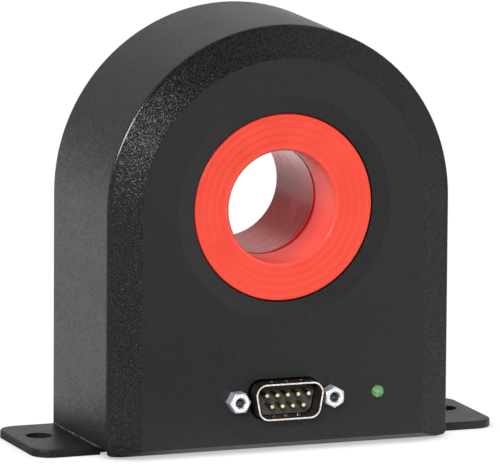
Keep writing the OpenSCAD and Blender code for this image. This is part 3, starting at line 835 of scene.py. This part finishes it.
@dataclass(frozen=True)
class PinGold(Finish):
    """Gold plate, with a painted highlight on the rounded tips and painted shade turning the shafts
    brown.
    """

    tip_y: float
    tip: Colour = (0.98, 0.83, 0.48)
    shaft: Colour = (0.34, 0.20, 0.07)
    tip_l: Step = Step(0.9 * MM, 0.35 * MM)
    cloud: float = 0.5 * MM
    relief: float = 0.004 * MM
    tint: Step = over_noise(0.88, 1.08)
    tip_pale: float = 0.6
    roughness: float = 0.26
    dulling: Step = over_noise(-0.05, 0.06)

    def surface(self, sheet: NodeSheet) -> Wire:
        """Lay out the metal.

        Args:
            sheet: The sheet the nodes go on.

        Returns:
            The shader's wire.
        """
        place = sheet.place()
        _, y, _ = sheet.split(place)
        tip = sheet.ramp(y - self.tip_y, self.tip_l)
        cloud = sheet.noise(place, self.cloud, 3.0, 0.6)
        return sheet.shader(
            {
                # Painted highlight on the tips and painted shade along the shafts
                "Base Color": sheet.blend(tip, self.shaft, self.tip) * sheet.ramp(cloud, self.tint),
                "Metallic": 1.0 - self.tip_pale * tip,
                "Roughness": self.roughness + sheet.ramp(cloud, self.dulling),
                "Normal": sheet.bump(cloud, self.relief),
            }
        )


@dataclass(frozen=True)
class MouldedPlastic(Finish):
    """Matt moulded plastic with a spark-eroded grain."""

    colour: Colour
    pale: Colour
    roughness: float = 0.5
    grain: float = 0.12 * MM
    cloud: float = 2.5 * MM
    fade: Step = Step(0.35, 0.75)
    gloss: float = 0.4
    relief: float = 0.012 * MM
    tint: Step = over_noise(0.93, 1.07)
    dulling: Step = over_noise(-0.05, 0.05)

    def surface(self, sheet: NodeSheet) -> Wire:
        """Lay out the plastic.

        Args:
            sheet: The sheet the nodes go on.

        Returns:
            The shader's wire.
        """
        place = sheet.place()
        grain = sheet.noise(place, self.grain, 2.0, 0.6)
        fade = sheet.ramp(sheet.noise(place, self.cloud, 3.0), self.fade)
        return sheet.shader(
            {
                "Base Color": sheet.blend(fade, self.colour, self.pale) * sheet.ramp(grain, self.tint),
                "Roughness": self.roughness + sheet.ramp(grain, self.dulling),
                "Specular IOR Level": self.gloss,
                "Normal": sheet.bump(grain, self.relief),
            }
        )


@dataclass(frozen=True)
class TintedLens(Finish):
    """Tinted clear plastic of a lamp, paler in the middle and darker at its rim as painted shade."""

    colour: Colour = (0.24, 0.60, 0.21)
    rim: Colour = (0.17, 0.38, 0.12)
    axis_x: float = LAMP_X
    axis_z: float = LAMP_Z
    rim_r: Step = Step(0.935 * MM, 1.7 * MM)
    haze_and_shade: float = 0.3 * MM
    relief: float = 0.0006 * MM
    tint: Step = over_noise(0.92, 1.06)
    roughness: float = 0.07
    dulling: Step = over_noise(0.0, 0.06)
    bending: float = 1.5
    clearness: float = 0.55

    def surface(self, sheet: NodeSheet) -> Wire:
        """Lay out the lens.

        Args:
            sheet: The sheet the nodes go on.

        Returns:
            The shader's wire.
        """
        place = sheet.place()
        x, _, z = sheet.split(place)
        rim = sheet.ramp(sheet.length(x - self.axis_x, z - self.axis_z), self.rim_r)
        haze_and_shade = sheet.noise(place, self.haze_and_shade, 3.0, 0.6)
        return sheet.shader(
            {
                # Painted shade towards the rim of the lens
                "Base Color": sheet.blend(rim, self.colour, self.rim) * sheet.ramp(haze_and_shade, self.tint),
                "Roughness": self.roughness + sheet.ramp(haze_and_shade, self.dulling),
                "IOR": self.bending,
                "Transmission Weight": self.clearness,
                "Normal": sheet.bump(haze_and_shade, self.relief),
            }
        )


# Finishes of the pieces inside


@dataclass(frozen=True)
class WoundWire(Finish):
    """Enamelled wire laid turn beside turn on a ring."""

    colour: Colour = (0.58, 0.22, 0.085)
    gap: Colour = (0.16, 0.05, 0.02)
    axis_z: float = BORE_AXIS_Z
    turns: int = 260
    wander: float = 4.0 * MM
    wander_angle: float = 0.03
    crown: Step = Step(-1.0, 0.6)
    cloud: float = 1.5 * MM
    relief: float = 0.2 * MM
    tint: Step = over_noise(0.85, 1.12)
    metal: float = 0.8
    roughness: float = 0.24
    dulling: Step = over_noise(0.0, 0.12)
    enamel: float = 0.6

    def surface(self, sheet: NodeSheet) -> Wire:
        """Lay out the wire.

        Args:
            sheet: The sheet the nodes go on.

        Returns:
            The shader's wire.
        """
        place = sheet.place()
        x, _, z = sheet.split(place)
        angle = sheet.maths("ARCTAN2", z - self.axis_z, x)
        wander = sheet.noise(place, self.wander) * self.wander_angle
        crown = sheet.ramp(sheet.maths("SINE", (angle + wander) * float(self.turns)), self.crown)
        tone = sheet.noise(place, self.cloud, 3.0)
        return sheet.shader(
            {
                # Painted shade in the grooves between turns
                "Base Color": sheet.blend(crown, self.gap, self.colour) * sheet.ramp(tone, self.tint),
                "Metallic": crown * self.metal,
                "Roughness": self.roughness + sheet.ramp(tone, self.dulling),
                "Coat Weight": self.enamel,
                "Normal": sheet.bump(crown, self.relief),
            }
        )


@dataclass(frozen=True)
class BoardLacquer(Finish):
    """Green solder resist over copper tracks, with the weave of the glass cloth under it."""

    green: Colour = (0.018, 0.13, 0.050)
    track: Colour = (0.035, 0.21, 0.075)
    bare_and_highlight: Colour = (0.46, 0.42, 0.22)
    pitch: float = 1.27 * MM
    block: float = 8.0 * MM
    cloth: float = 0.4 * MM
    flat_slope: Step = Step(0.5, 0.9)
    choice: Step = Step(0.49, 0.51)
    track_w: Step = Step(0.25, 0.4)
    weave: Step = Step(-1.0, 1.0, 0.93, 1.07)
    weave_height: float = 0.1
    relief: float = 0.03 * MM
    roughness: float = 0.34
    edge_dull: float = 0.3
    lacquer: float = 0.4

    def surface(self, sheet: NodeSheet) -> Wire:
        """Lay out the board.

        Args:
            sheet: The sheet the nodes go on.

        Returns:
            The shader's wire.
        """
        place = sheet.place()
        x, y, _ = sheet.split(place)
        _, _, nz = sheet.split(sheet.facing())
        flat = sheet.ramp(abs(nz), self.flat_slope)
        # Each square block of tracks runs one way or the other
        block = sheet.node(
            "ShaderNodeTexVoronoi",
            {"distance": "CHEBYCHEV"},
            {"Vector": place, "Scale": 1.0 / self.block},
            "Color",
        )
        choice, shift, _ = sheet.split(block)
        along = sheet.ramp(choice, self.choice)
        across = x * along + y * (1 - along) + shift * self.pitch
        track = sheet.ramp(sheet.maths("SINE", across * (math.tau / self.pitch)), self.track_w) * flat
        thread = math.tau / self.cloth
        weave = sheet.maths("SINE", x * thread) * sheet.maths("SINE", y * thread)
        colour = sheet.layers(self.green, (track, self.track), (1 - flat, self.bare_and_highlight))
        return sheet.shader(
            {
                "Base Color": colour * sheet.ramp(weave, self.weave),
                "Roughness": self.roughness + (1 - flat) * self.edge_dull,
                "Coat Weight": flat * self.lacquer,
                "Normal": sheet.bump(track + weave * self.weave_height, self.relief),
            }
        )


@dataclass(frozen=True)
class SoftPad(Finish):
    """Rubber or foam with open pores."""

    colour: Colour
    pore: Colour
    size: float = 0.6 * MM
    wall: Step = Step(0.1, 0.55)
    cloud: float = 3.0 * MM
    relief: float = 0.05 * MM
    tint: Step = over_noise(0.88, 1.1)
    roughness: float = 0.85
    wall_polish: float = 0.1

    def surface(self, sheet: NodeSheet) -> Wire:
        """Lay out the pad.

        Args:
            sheet: The sheet the nodes go on.

        Returns:
            The shader's wire.
        """
        place = sheet.place()
        walls = sheet.ramp(sheet.cells(place, self.size, "Distance"), self.wall)
        tone = sheet.noise(place, self.cloud, 3.0)
        return sheet.shader(
            {
                # Painted shade in the pores
                "Base Color": sheet.blend(walls, self.pore, self.colour) * sheet.ramp(tone, self.tint),
                "Roughness": self.roughness - self.wall_polish * walls,
                "Normal": sheet.bump(walls, self.relief),
            }
        )


@dataclass(frozen=True)
class TapeCore(Finish):
    """Thin alloy tape wound round and round: bright edges in fine rings."""

    colour: Colour = (0.21, 0.21, 0.22)
    edge: Colour = (0.36, 0.36, 0.37)
    axis_z: float = BORE_AXIS_Z
    tape_t: float = 0.3 * MM
    edge_w: Step = Step(-0.4, 0.9)
    cloud: float = 2.0 * MM
    relief: float = 0.02 * MM
    tint: Step = over_noise(0.85, 1.1)
    metal: float = 0.9
    roughness: float = 0.36
    dulling: Step = over_noise(0.0, 0.16)

    def surface(self, sheet: NodeSheet) -> Wire:
        """Lay out the tape.

        Args:
            sheet: The sheet the nodes go on.

        Returns:
            The shader's wire.
        """
        place = sheet.place()
        x, _, z = sheet.split(place)
        rings = sheet.maths("SINE", sheet.length(x, z - self.axis_z) * (math.tau / self.tape_t))
        tone = sheet.noise(place, self.cloud, 4.0, 0.6)
        colour = sheet.blend(sheet.ramp(rings, self.edge_w), self.colour, self.edge)
        return sheet.shader(
            {
                "Base Color": colour * sheet.ramp(tone, self.tint),
                "Metallic": self.metal,
                "Roughness": self.roughness + sheet.ramp(tone, self.dulling),
                "Normal": sheet.bump(rings, self.relief),
            }
        )


@dataclass(frozen=True)
class SleeveFilm(Finish):
    """Shrink sleeve on a capacitor with a pale stripe down one side and a bare metal lid."""

    colour: Colour = (0.022, 0.045, 0.13)
    stripe: Colour = (0.42, 0.45, 0.50)
    lid: Colour = (0.55, 0.55, 0.56)
    stripe_w: Step = Step(0.86, 0.90)
    side_slope: Step = Step(0.4, 0.2)
    lid_slope: Step = Step(0.7, 0.9)
    cloud: float = 1.2 * MM
    relief: float = 0.03 * MM
    tint: Step = over_noise(0.9, 1.08)
    metal: float = 0.9
    roughness: float = 0.28
    dulling: Step = over_noise(0.0, 0.1)

    def surface(self, sheet: NodeSheet) -> Wire:
        """Lay out the sleeve.

        Args:
            sheet: The sheet the nodes go on.

        Returns:
            The shader's wire.
        """
        _, ny, nz = sheet.split(sheet.facing())
        stripe = sheet.ramp(ny, self.stripe_w) * sheet.ramp(abs(nz), self.side_slope)
        lid = sheet.ramp(nz, self.lid_slope)
        tone = sheet.noise(sheet.place(), self.cloud, 3.0)
        colour = sheet.layers(self.colour, (stripe, self.stripe), (lid, self.lid))
        return sheet.shader(
            {
                "Base Color": colour * sheet.ramp(tone, self.tint),
                "Metallic": lid * self.metal,
                "Roughness": self.roughness + sheet.ramp(tone, self.dulling),
                "Normal": sheet.bump(tone, self.relief),
            }
        )


# Finishes that several sub-assemblies share
PLAIN_STEEL = PlatedMetal("plain_steel", (0.42, 0.42, 0.43), (0.2, 0.2, 0.2), 0.34)
BRIGHT_ZINC = PlatedMetal("bright_zinc", (0.80, 0.80, 0.80), (0.56, 0.54, 0.48), 0.30)
TIN = PlatedMetal("tin", (0.66, 0.66, 0.65), (0.40, 0.39, 0.37), 0.3)
IVORY = MouldedPlastic("ivory", (0.70, 0.66, 0.54), (0.76, 0.73, 0.63), 0.45)

NodeFinishes = dict[str, Finish]


# Sub-assemblies


class Shop:
    """Holds each finish's material once, and puts it on pieces."""

    def __init__(self) -> None:
        """Start with no materials."""
        self._made: dict[str, bpy.types.Material] = {}

    def dress(self, piece: bpy.types.Object, finish: Finish) -> None:
        """Give a piece its finish.

        Args:
            piece: The mesh object.
            finish: The finish; its material is made once.
        """
        if finish.name not in self._made:
            self._made[finish.name] = finish.material()
        made = self._made[finish.name]
        if not piece.material_slots:
            piece.data.materials.append(made)
        for slot in piece.material_slots:
            slot.material = made
        LOG.info("%s: %s", piece.name, finish.name)


@dataclass
class Subassembly:
    """Pieces that belong together, with the finish of each solid."""

    nodes: dict[str, bpy.types.Object]
    shop: Shop

    def finishes(self) -> NodeFinishes:
        """The finish of each solid by name."""
        raise NotImplementedError

    def make(self) -> list[bpy.types.Object]:
        """Pieces of its own beside the solids."""
        return []

    def build(self) -> None:
        """Dress the solids and make the pieces."""
        for name, finish in self.finishes().items():
            self.shop.dress(self.nodes[name], finish)
        for piece in self.make():
            LOG.info("%s: made", piece.name)


def mesh_piece(name: str, mesh: bmesh.types.BMesh) -> bpy.types.Object:
    """Turn a bmesh into a piece with flat faces that rides on the part.

    Args:
        name: The piece's name.
        mesh: The mesh, in metres in the part's frame; it is freed.

    Returns:
        The new object.
    """
    bmesh.ops.recalc_face_normals(mesh, faces=mesh.faces)
    data = bpy.data.meshes.new(name)
    mesh.to_mesh(data)
    mesh.free()
    for face in data.polygons:
        face.use_smooth = False
    piece = bpy.data.objects.new(name, data)
    bpy.context.scene.collection.objects.link(piece)
    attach(piece, "root")
    return piece


def spot_round(axis: tuple[float, float], radius: float, angle: float, y: float) -> Point:
    """A point round an axis that runs front to back at an X and Z."""
    return (axis[0] + radius * math.cos(angle), y, axis[1] + radius * math.sin(angle))


def bridge(mesh: bmesh.types.BMesh, rows: Sequence[Sequence[bmesh.types.BMVert]]) -> None:
    """Join rows of points by faces, each row closed on itself.

    Args:
        mesh: The mesh that the faces go into.
        rows: Rows of the same number of points.
    """
    for before, after in zip(rows, rows[1:]):
        count = len(before)
        for i in range(count):
            j = (i + 1) % count
            mesh.faces.new((before[i], before[j], after[j], after[i]))


@dataclass
class Housing(Subassembly):
    """The housing with its rear cover and foot plate."""

    def finishes(self) -> NodeFinishes:
        """Choose the finish of each solid.

        Returns:
            The finishes by the solids' names.
        """
        coat = PlateCoat("plate_coat")
        return {
            "housing_shell": HousingCoat("housing_coat"),
            "rear_cover": coat,
            "base_plate": coat,
            "cover_screws": PLAIN_STEEL,
            "base_screws": PLAIN_STEEL,
        }


@dataclass
class CableBushing(Subassembly):
    """The two halves of the red bushing."""

    def finishes(self) -> NodeFinishes:
        """The finish of each solid by name."""
        red = RedPlastic("red_plastic")
        return {"front_bushing": red, "rear_bushing": red}


@dataclass
class SignalConnector(Subassembly):
    """The D connector with its jack screws, and the threads in their bores."""

    jack_pitch: float = JACK_PITCH
    axis_z: float = JACK_Z
    mouth_y: float = -31.0 * MM
    floor_y: float = -28.5 * MM
    bore_r: float = JACK_BORE_R
    thread_pitch: float = 0.635 * MM
    ridge_h: float = 0.14 * MM
    ridge_sunk: float = 0.02 * MM
    ridge_half_w: float = 0.42
    end_w: float = 0.2
    end_turns: float = 0.5
    steps: int = 28

    def finishes(self) -> NodeFinishes:
        """Choose the finish of each solid.

        Returns:
            The finishes by the solids' names.
        """
        tip_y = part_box("connector_pins")[0][1]
        black = MouldedPlastic("connector_black", (0.080, 0.077, 0.074), (0.100, 0.096, 0.091))
        return {
            "connector_shell": ShellNickel("nickel"),
            "connector_body": black,
            "connector_pins": PinGold("gold", tip_y),
            "jack_screws": JackZinc("jack_zinc"),
            "jack_nuts": BRIGHT_ZINC,
        }

    def make(self) -> list[bpy.types.Object]:
        """Make the thread in each jack screw's bore.

        Returns:
            The thread piece.
        """
        mesh = bmesh.new()
        for side in (-0.5, 0.5):
            self._thread(mesh, side * self.jack_pitch)
        piece = mesh_piece("jack_threads", mesh)
        # The threads get a darker zinc than the nuts as painted shade in the bores
        self.shop.dress(piece, PlatedMetal("thread_zinc_painted_shade", (0.50, 0.52, 0.53), (0.25, 0.25, 0.25), 0.36))
        return [piece]

    def _thread(self, mesh: bmesh.types.BMesh, axis_x: float) -> None:
        """Sweep one ridge along a helix in a bore, thin at both ends.

        Args:
            mesh: The mesh it goes into.
            axis_x: The bore's place.
        """
        depth = self.floor_y - self.mouth_y
        turns = depth / self.thread_pitch
        count = int(turns * self.steps)
        root = self.bore_r + self.ridge_sunk
        rows = []
        for step in range(count + 1):
            share = step / count
            angle = share * turns * math.tau
            middle = self.mouth_y + share * depth
            from_end = min(step, count - step) / self.steps
            fade = min(1.0, from_end / self.end_turns)
            half = self.ridge_half_w * self.thread_pitch * max(fade, self.end_w)
            crest = self.bore_r - self.ridge_h * fade
            row = []
            for shift, reach in ((-half, root), (0.0, crest), (half, root)):
                spot = spot_round((axis_x, self.axis_z), reach, angle, middle + shift)
                row.append(mesh.verts.new(spot))
            rows.append(row)
        bridge(mesh, rows)
        mesh.faces.new(rows[0])
        mesh.faces.new(rows[-1])


@dataclass
class StatusLamp(Subassembly):
    """The green lamp, with the cup and die that show through its lens."""

    axis: tuple[float, float] = (LAMP_X, LAMP_Z)
    cup_y: float = -27.4 * MM
    cup_r: float = 0.85 * MM
    cup_wall: float = 0.12 * MM
    die_r: float = 0.28 * MM
    die_d: float = 0.35 * MM
    die_lip_d: float = 0.22 * MM
    floor_r: float = 0.34 * MM
    floor_d: float = 0.45 * MM
    heel_r: float = 0.55 * MM
    heel_d: float = 0.9 * MM
    post_r: float = 0.3 * MM
    post_d: float = 1.0 * MM
    lens_back_y: float = -24.9 * MM
    segments: int = 32
    weld: float = 0.001 * MM

    def finishes(self) -> NodeFinishes:
        """The finish of each solid by name."""
        return {"status_led": TintedLens("green_lens"), "led_leads": TIN}

    def make(self) -> list[bpy.types.Object]:
        """Turn the cup on its post, inside the lens.

        Returns:
            The cup.
        """
        outline = [
            (0.0, self.cup_y + self.die_d),
            (self.die_r, self.cup_y + self.die_d),
            (self.die_r, self.cup_y + self.die_lip_d),
            (self.floor_r, self.cup_y + self.floor_d),
            (self.cup_r, self.cup_y),
            (self.cup_r + self.cup_wall, self.cup_y),
            (self.heel_r, self.cup_y + self.heel_d),
            (self.post_r, self.cup_y + self.post_d),
            (self.post_r, self.lens_back_y),
            (0.0, self.lens_back_y),
        ]
        mesh = bmesh.new()
        angles = [math.tau * step / self.segments for step in range(self.segments)]
        rows = []
        for radius, y in outline:
            rows.append([mesh.verts.new(spot_round(self.axis, radius, angle, y)) for angle in angles])
        bridge(mesh, rows)
        bmesh.ops.remove_doubles(mesh, verts=mesh.verts, dist=self.weld)
        piece = mesh_piece("lamp_cup", mesh)
        self.shop.dress(piece, TIN)
        return [piece]


@dataclass
class Electronics(Subassembly):
    """The board and everything on it."""

    def finishes(self) -> NodeFinishes:
        """Choose the finish of each solid.

        Returns:
            The finishes by the solids' names.
        """
        epoxy = MouldedPlastic("epoxy", (0.020, 0.020, 0.021), (0.034, 0.034, 0.035), 0.55)
        return {
            "main_board": BoardLacquer("board_lacquer"),
            "board_spacers": BRIGHT_ZINC,
            "board_screws": PLAIN_STEEL,
            "transistor_bodies": epoxy,
            "transistor_frames": TIN,
            "transistor_pads": SoftPad("thermal_pad", (0.44, 0.46, 0.49), (0.30, 0.32, 0.35), 0.4 * MM),
            "transistor_screws": PLAIN_STEEL,
            "filter_capacitors": SleeveFilm("blue_sleeve"),
            "control_chips": epoxy,
            "head_header": IVORY,
            "head_leads": WoundWire("lead_wire", turns=40),
        }


@dataclass
class MagneticHead(Subassembly):
    """The rings, windings, shield and cores round the bushing."""

    def finishes(self) -> NodeFinishes:
        """Choose the finish of each solid.

        Returns:
            The finishes by the solids' names.
        """
        shield = PlatedMetal("shield_steel", (0.47, 0.47, 0.48), (0.30, 0.29, 0.28), 0.4)
        core = TapeCore("tape_core")
        fine = WoundWire("fine_winding", turns=520)
        return {
            "front_head_ring": IVORY,
            "rear_head_ring": SoftPad("cushion_foam", (0.085, 0.085, 0.086), (0.035, 0.035, 0.036)),
            "compensation_winding": WoundWire("main_winding"),
            "shield_cup_front": shield,
            "shield_cup_rear": shield,
            "probe_winding_a": fine,
            "probe_winding_b": fine,
            "probe_core_a": core,
            "probe_core_b": core,
            "ripple_core": core,
        }


# Studio


@dataclass(frozen=True)
class FloorPaper(Finish):
    """Pale floor: white to the eye with the part's contact shadow, uneven where gloss mirrors it."""

    paper: Colour = (0.10, 0.10, 0.10)
    contact_h: float = 4.0 * MM
    contact_samples: int = 16
    shaded: float = 0.42
    unshaded: float = 0.51
    turn: Step = Step(-0.05, 0.65, 0.22, 0.80)
    turn_end: Step = Step(0.65, 0.95, 1.0, 0.6)
    left: Step = Step(-0.2, -0.5, 0.0, 0.22)
    far: Step = Step(0.10, 0.50, 0.78, 1.0)
    close_y: Step = Step(-0.07, -0.045)
    close_level: float = 0.70
    rear_y: Step = Step(0.04, 0.10)
    rear_x: Step = Step(-0.02, 0.03)
    rear_level: float = 0.60
    rear_spill: float = 0.9
    foot_x: tuple[Step, Step] = (Step(-0.020, -0.045), Step(-0.130, -0.090))
    foot_y: tuple[Step, Step] = (Step(0.050, 0.018), Step(-0.045, -0.030))
    foot_dark: float = 0.85

    def surface(self, sheet: NodeSheet) -> Wire:
        """Lay out the floor.

        Args:
            sheet: The sheet the nodes go on.

        Returns:
            The shader's wire.
        """
        x, y, _ = sheet.split(sheet.place())
        reach = sheet.length(x, y)
        side = x / reach
        # What gloss on the part mirrors of the floor: in front, close by, behind, and a painted shadow of
        # the part at the left foot
        ahead = sheet.ramp(side, self.turn) * sheet.ramp(side, self.turn_end)
        ahead = ahead * sheet.ramp(reach, self.far) + sheet.ramp(side, self.left)
        close = sheet.ramp(y, self.close_y)
        rear = sheet.ramp(y, self.rear_y)
        bounce = ahead + close * (self.close_level - ahead)
        bounce = bounce + self.rear_level * rear * sheet.ramp(x, self.rear_x)
        # Painted shadow of the part on the floor by the left foot, seen only in gloss
        foot = sheet.ramp(x, self.foot_x[0]) * sheet.ramp(x, self.foot_x[1])
        foot = foot * sheet.ramp(y, self.foot_y[0]) * sheet.ramp(y, self.foot_y[1])
        bounce = bounce * (1 - self.foot_dark * foot)
        mirrored = sheet.ray(Ray.MIRRORED)
        spill = mirrored * bounce + (1 - mirrored) * rear * self.rear_spill
        seen = sheet.seen()
        contact = sheet.node(
            "ShaderNodeAmbientOcclusion",
            {"samples": self.contact_samples},
            {"Distance": self.contact_h},
            "AO",
        )
        level = seen * (self.shaded + self.unshaded * contact) + (1 - seen) * spill
        glow = sheet.node("ShaderNodeEmission", inputs={"Color": level, "Strength": 1.0})
        paper = sheet.node("ShaderNodeBsdfDiffuse", inputs={"Color": self.paper})
        return sheet.node("ShaderNodeAddShader", inputs={0: glow, 1: paper})


@dataclass(frozen=True)
class Surround:
    """The world's light: white to the eye, brighter behind the part than before it."""

    turn: Step = Step(-0.05, 0.65, 0.22, 0.80)
    turn_end: Step = Step(0.65, 0.95, 1.0, 0.75)
    overhead: Step = Step(0.25, 0.6, 1.0, 0.75)
    behind: Step = Step(-0.40, 0.25, 0.34, 0.56)
    half_way: Step = Step(-0.2, 0.4)
    rear_fill: Step = Step(0.1, 0.5, 0.0, 0.6)

    def world(self) -> bpy.types.World:
        """Make the world.

        Returns:
            The world, with its nodes laid out.
        """
        world = bpy.data.worlds.new("white_surround")
        world.use_nodes = True
        world.node_tree.nodes.clear()
        sheet = NodeSheet(world.node_tree)
        x, y, z = sheet.split(sheet.node("ShaderNodeTexCoord", output="Generated"))
        ahead = sheet.ramp(x, self.turn) * sheet.ramp(x, self.turn_end) * sheet.ramp(z, self.overhead)
        around = ahead + sheet.ramp(y, self.half_way) * (sheet.ramp(x, self.behind) - ahead)
        around = around + (1 - sheet.ray(Ray.MIRRORED)) * sheet.ramp(y, self.rear_fill)
        seen = sheet.seen()
        level = seen + (1 - seen) * around
        sky = sheet.node("ShaderNodeBackground", inputs={"Color": level, "Strength": 1.0})
        sheet.node("ShaderNodeOutputWorld", inputs={"Surface": sky})
        return world


class Shine(Enum):
    """What a lamp gives the part."""

    SOFT = "soft light alone"
    GLINT = "mirror glints alone"
    BOTH = "soft light and glints"


@dataclass(frozen=True)
class Lamp:
    """One area lamp, aimed at the part."""

    name: str
    direction: Point
    distance: float
    size: tuple[float, float]
    level: float
    shine: Shine = Shine.SOFT

    def hang(self, aim: Vector) -> None:
        """Put the lamp in the scene.

        Args:
            aim: The point it shines at.
        """
        data = bpy.data.lights.new(self.name, "AREA")
        data.shape = "RECTANGLE"
        data.size, data.size_y = self.size
        data.energy = self.level * math.pi**2 * self.distance**2
        lamp = bpy.data.objects.new(self.name, data)
        lamp.visible_glossy = self.shine is not Shine.SOFT
        lamp.visible_diffuse = self.shine is not Shine.GLINT
        toward = Vector(self.direction).normalized()
        lamp.location = aim + toward * self.distance
        lamp.rotation_euler = toward.to_track_quat("Z", "Y").to_euler()
        bpy.context.scene.collection.objects.link(lamp)


@dataclass
class Studio:
    """Pale floor, white surround, soft lamps and the camera."""

    azimuth: float = math.radians(20.869)
    elevation: float = math.radians(10.057)
    roll: float = math.radians(0.412)
    target: Point = (-1.546 * MM, -8.0 * MM, 50.693 * MM)
    distance: float = 2.0
    lens: float = 577.44
    sensor: float = 36.0
    clip_end: float = 50.0
    floor_half: float = 6.0
    aim: Point = (0.0, 0.0, 0.05)
    lamps: tuple[Lamp, ...] = (
        Lamp("key_box", (-0.38, -0.85, 0.40), 1.4, (0.36, 0.30), 0.74),
        Lamp("glint_box", (-0.605, -0.723, 0.333), 1.4, (0.22, 0.22), 0.205, Shine.BOTH),
        Lamp("arris_box", (-0.83, -0.327, 0.452), 1.4, (0.15, 0.55), 0.50, Shine.GLINT),
        Lamp("left_box", (-0.95, -0.27, 0.16), 1.3, (0.5, 0.6), 0.45),
        Lamp("top_box", (-0.10, -0.20, 0.97), 1.3, (0.8, 0.8), 0.30),
    )

    def build(self) -> None:
        """Set up everything round the part."""
        bpy.context.scene.view_settings.view_transform = "Standard"
        self._camera()
        self._floor()
        bpy.context.scene.world = Surround().world()
        for lamp in self.lamps:
            lamp.hang(Vector(self.aim))
        LOG.info("studio: floor, surround, %d lamps and camera", len(self.lamps))

    def _camera(self) -> None:
        """Put the camera where the photograph was taken from."""
        look = Vector(
            (
                math.sin(self.azimuth) * math.cos(self.elevation),
                math.cos(self.azimuth) * math.cos(self.elevation),
                -math.sin(self.elevation),
            )
        )
        right = Vector((math.cos(self.azimuth), -math.sin(self.azimuth), 0.0))
        up = right.cross(look)
        turned = right * math.cos(self.roll) + up * math.sin(self.roll)
        upright = up * math.cos(self.roll) - right * math.sin(self.roll)
        data = bpy.data.cameras.new("photo_camera")
        data.lens = self.lens
        data.sensor_fit = "HORIZONTAL"
        data.sensor_width = self.sensor
        data.clip_end = self.clip_end
        camera = bpy.data.objects.new("photo_camera", data)
        place = Matrix((turned, upright, -look)).transposed().to_4x4()
        place.translation = Vector(self.target) - look * self.distance
        camera.matrix_world = place
        bpy.context.scene.collection.objects.link(camera)
        bpy.context.scene.camera = camera

    def _floor(self) -> None:
        """Lay the floor under the part."""
        half = self.floor_half
        square = ((-half, -half), (half, -half), (half, half), (-half, half))
        mesh = bmesh.new()
        mesh.faces.new([mesh.verts.new((x, y, 0.0)) for x, y in square])
        data = bpy.data.meshes.new("floor")
        mesh.to_mesh(data)
        mesh.free()
        floor = bpy.data.objects.new("floor", data)
        bpy.context.scene.collection.objects.link(floor)
        data.materials.append(FloorPaper("floor_paper").material())


def main() -> None:
    """Load the part, set up the studio and dress the part piece by piece."""
    logging.basicConfig(level=logging.INFO, format="%(message)s")
    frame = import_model()
    nodes = frame["nodes"]
    shop = Shop()
    Studio().build()
    for kind in (Housing, CableBushing, SignalConnector, StatusLamp, Electronics, MagneticHead):
        kind(nodes, shop).build()


if __name__ == "__main__":
    main()
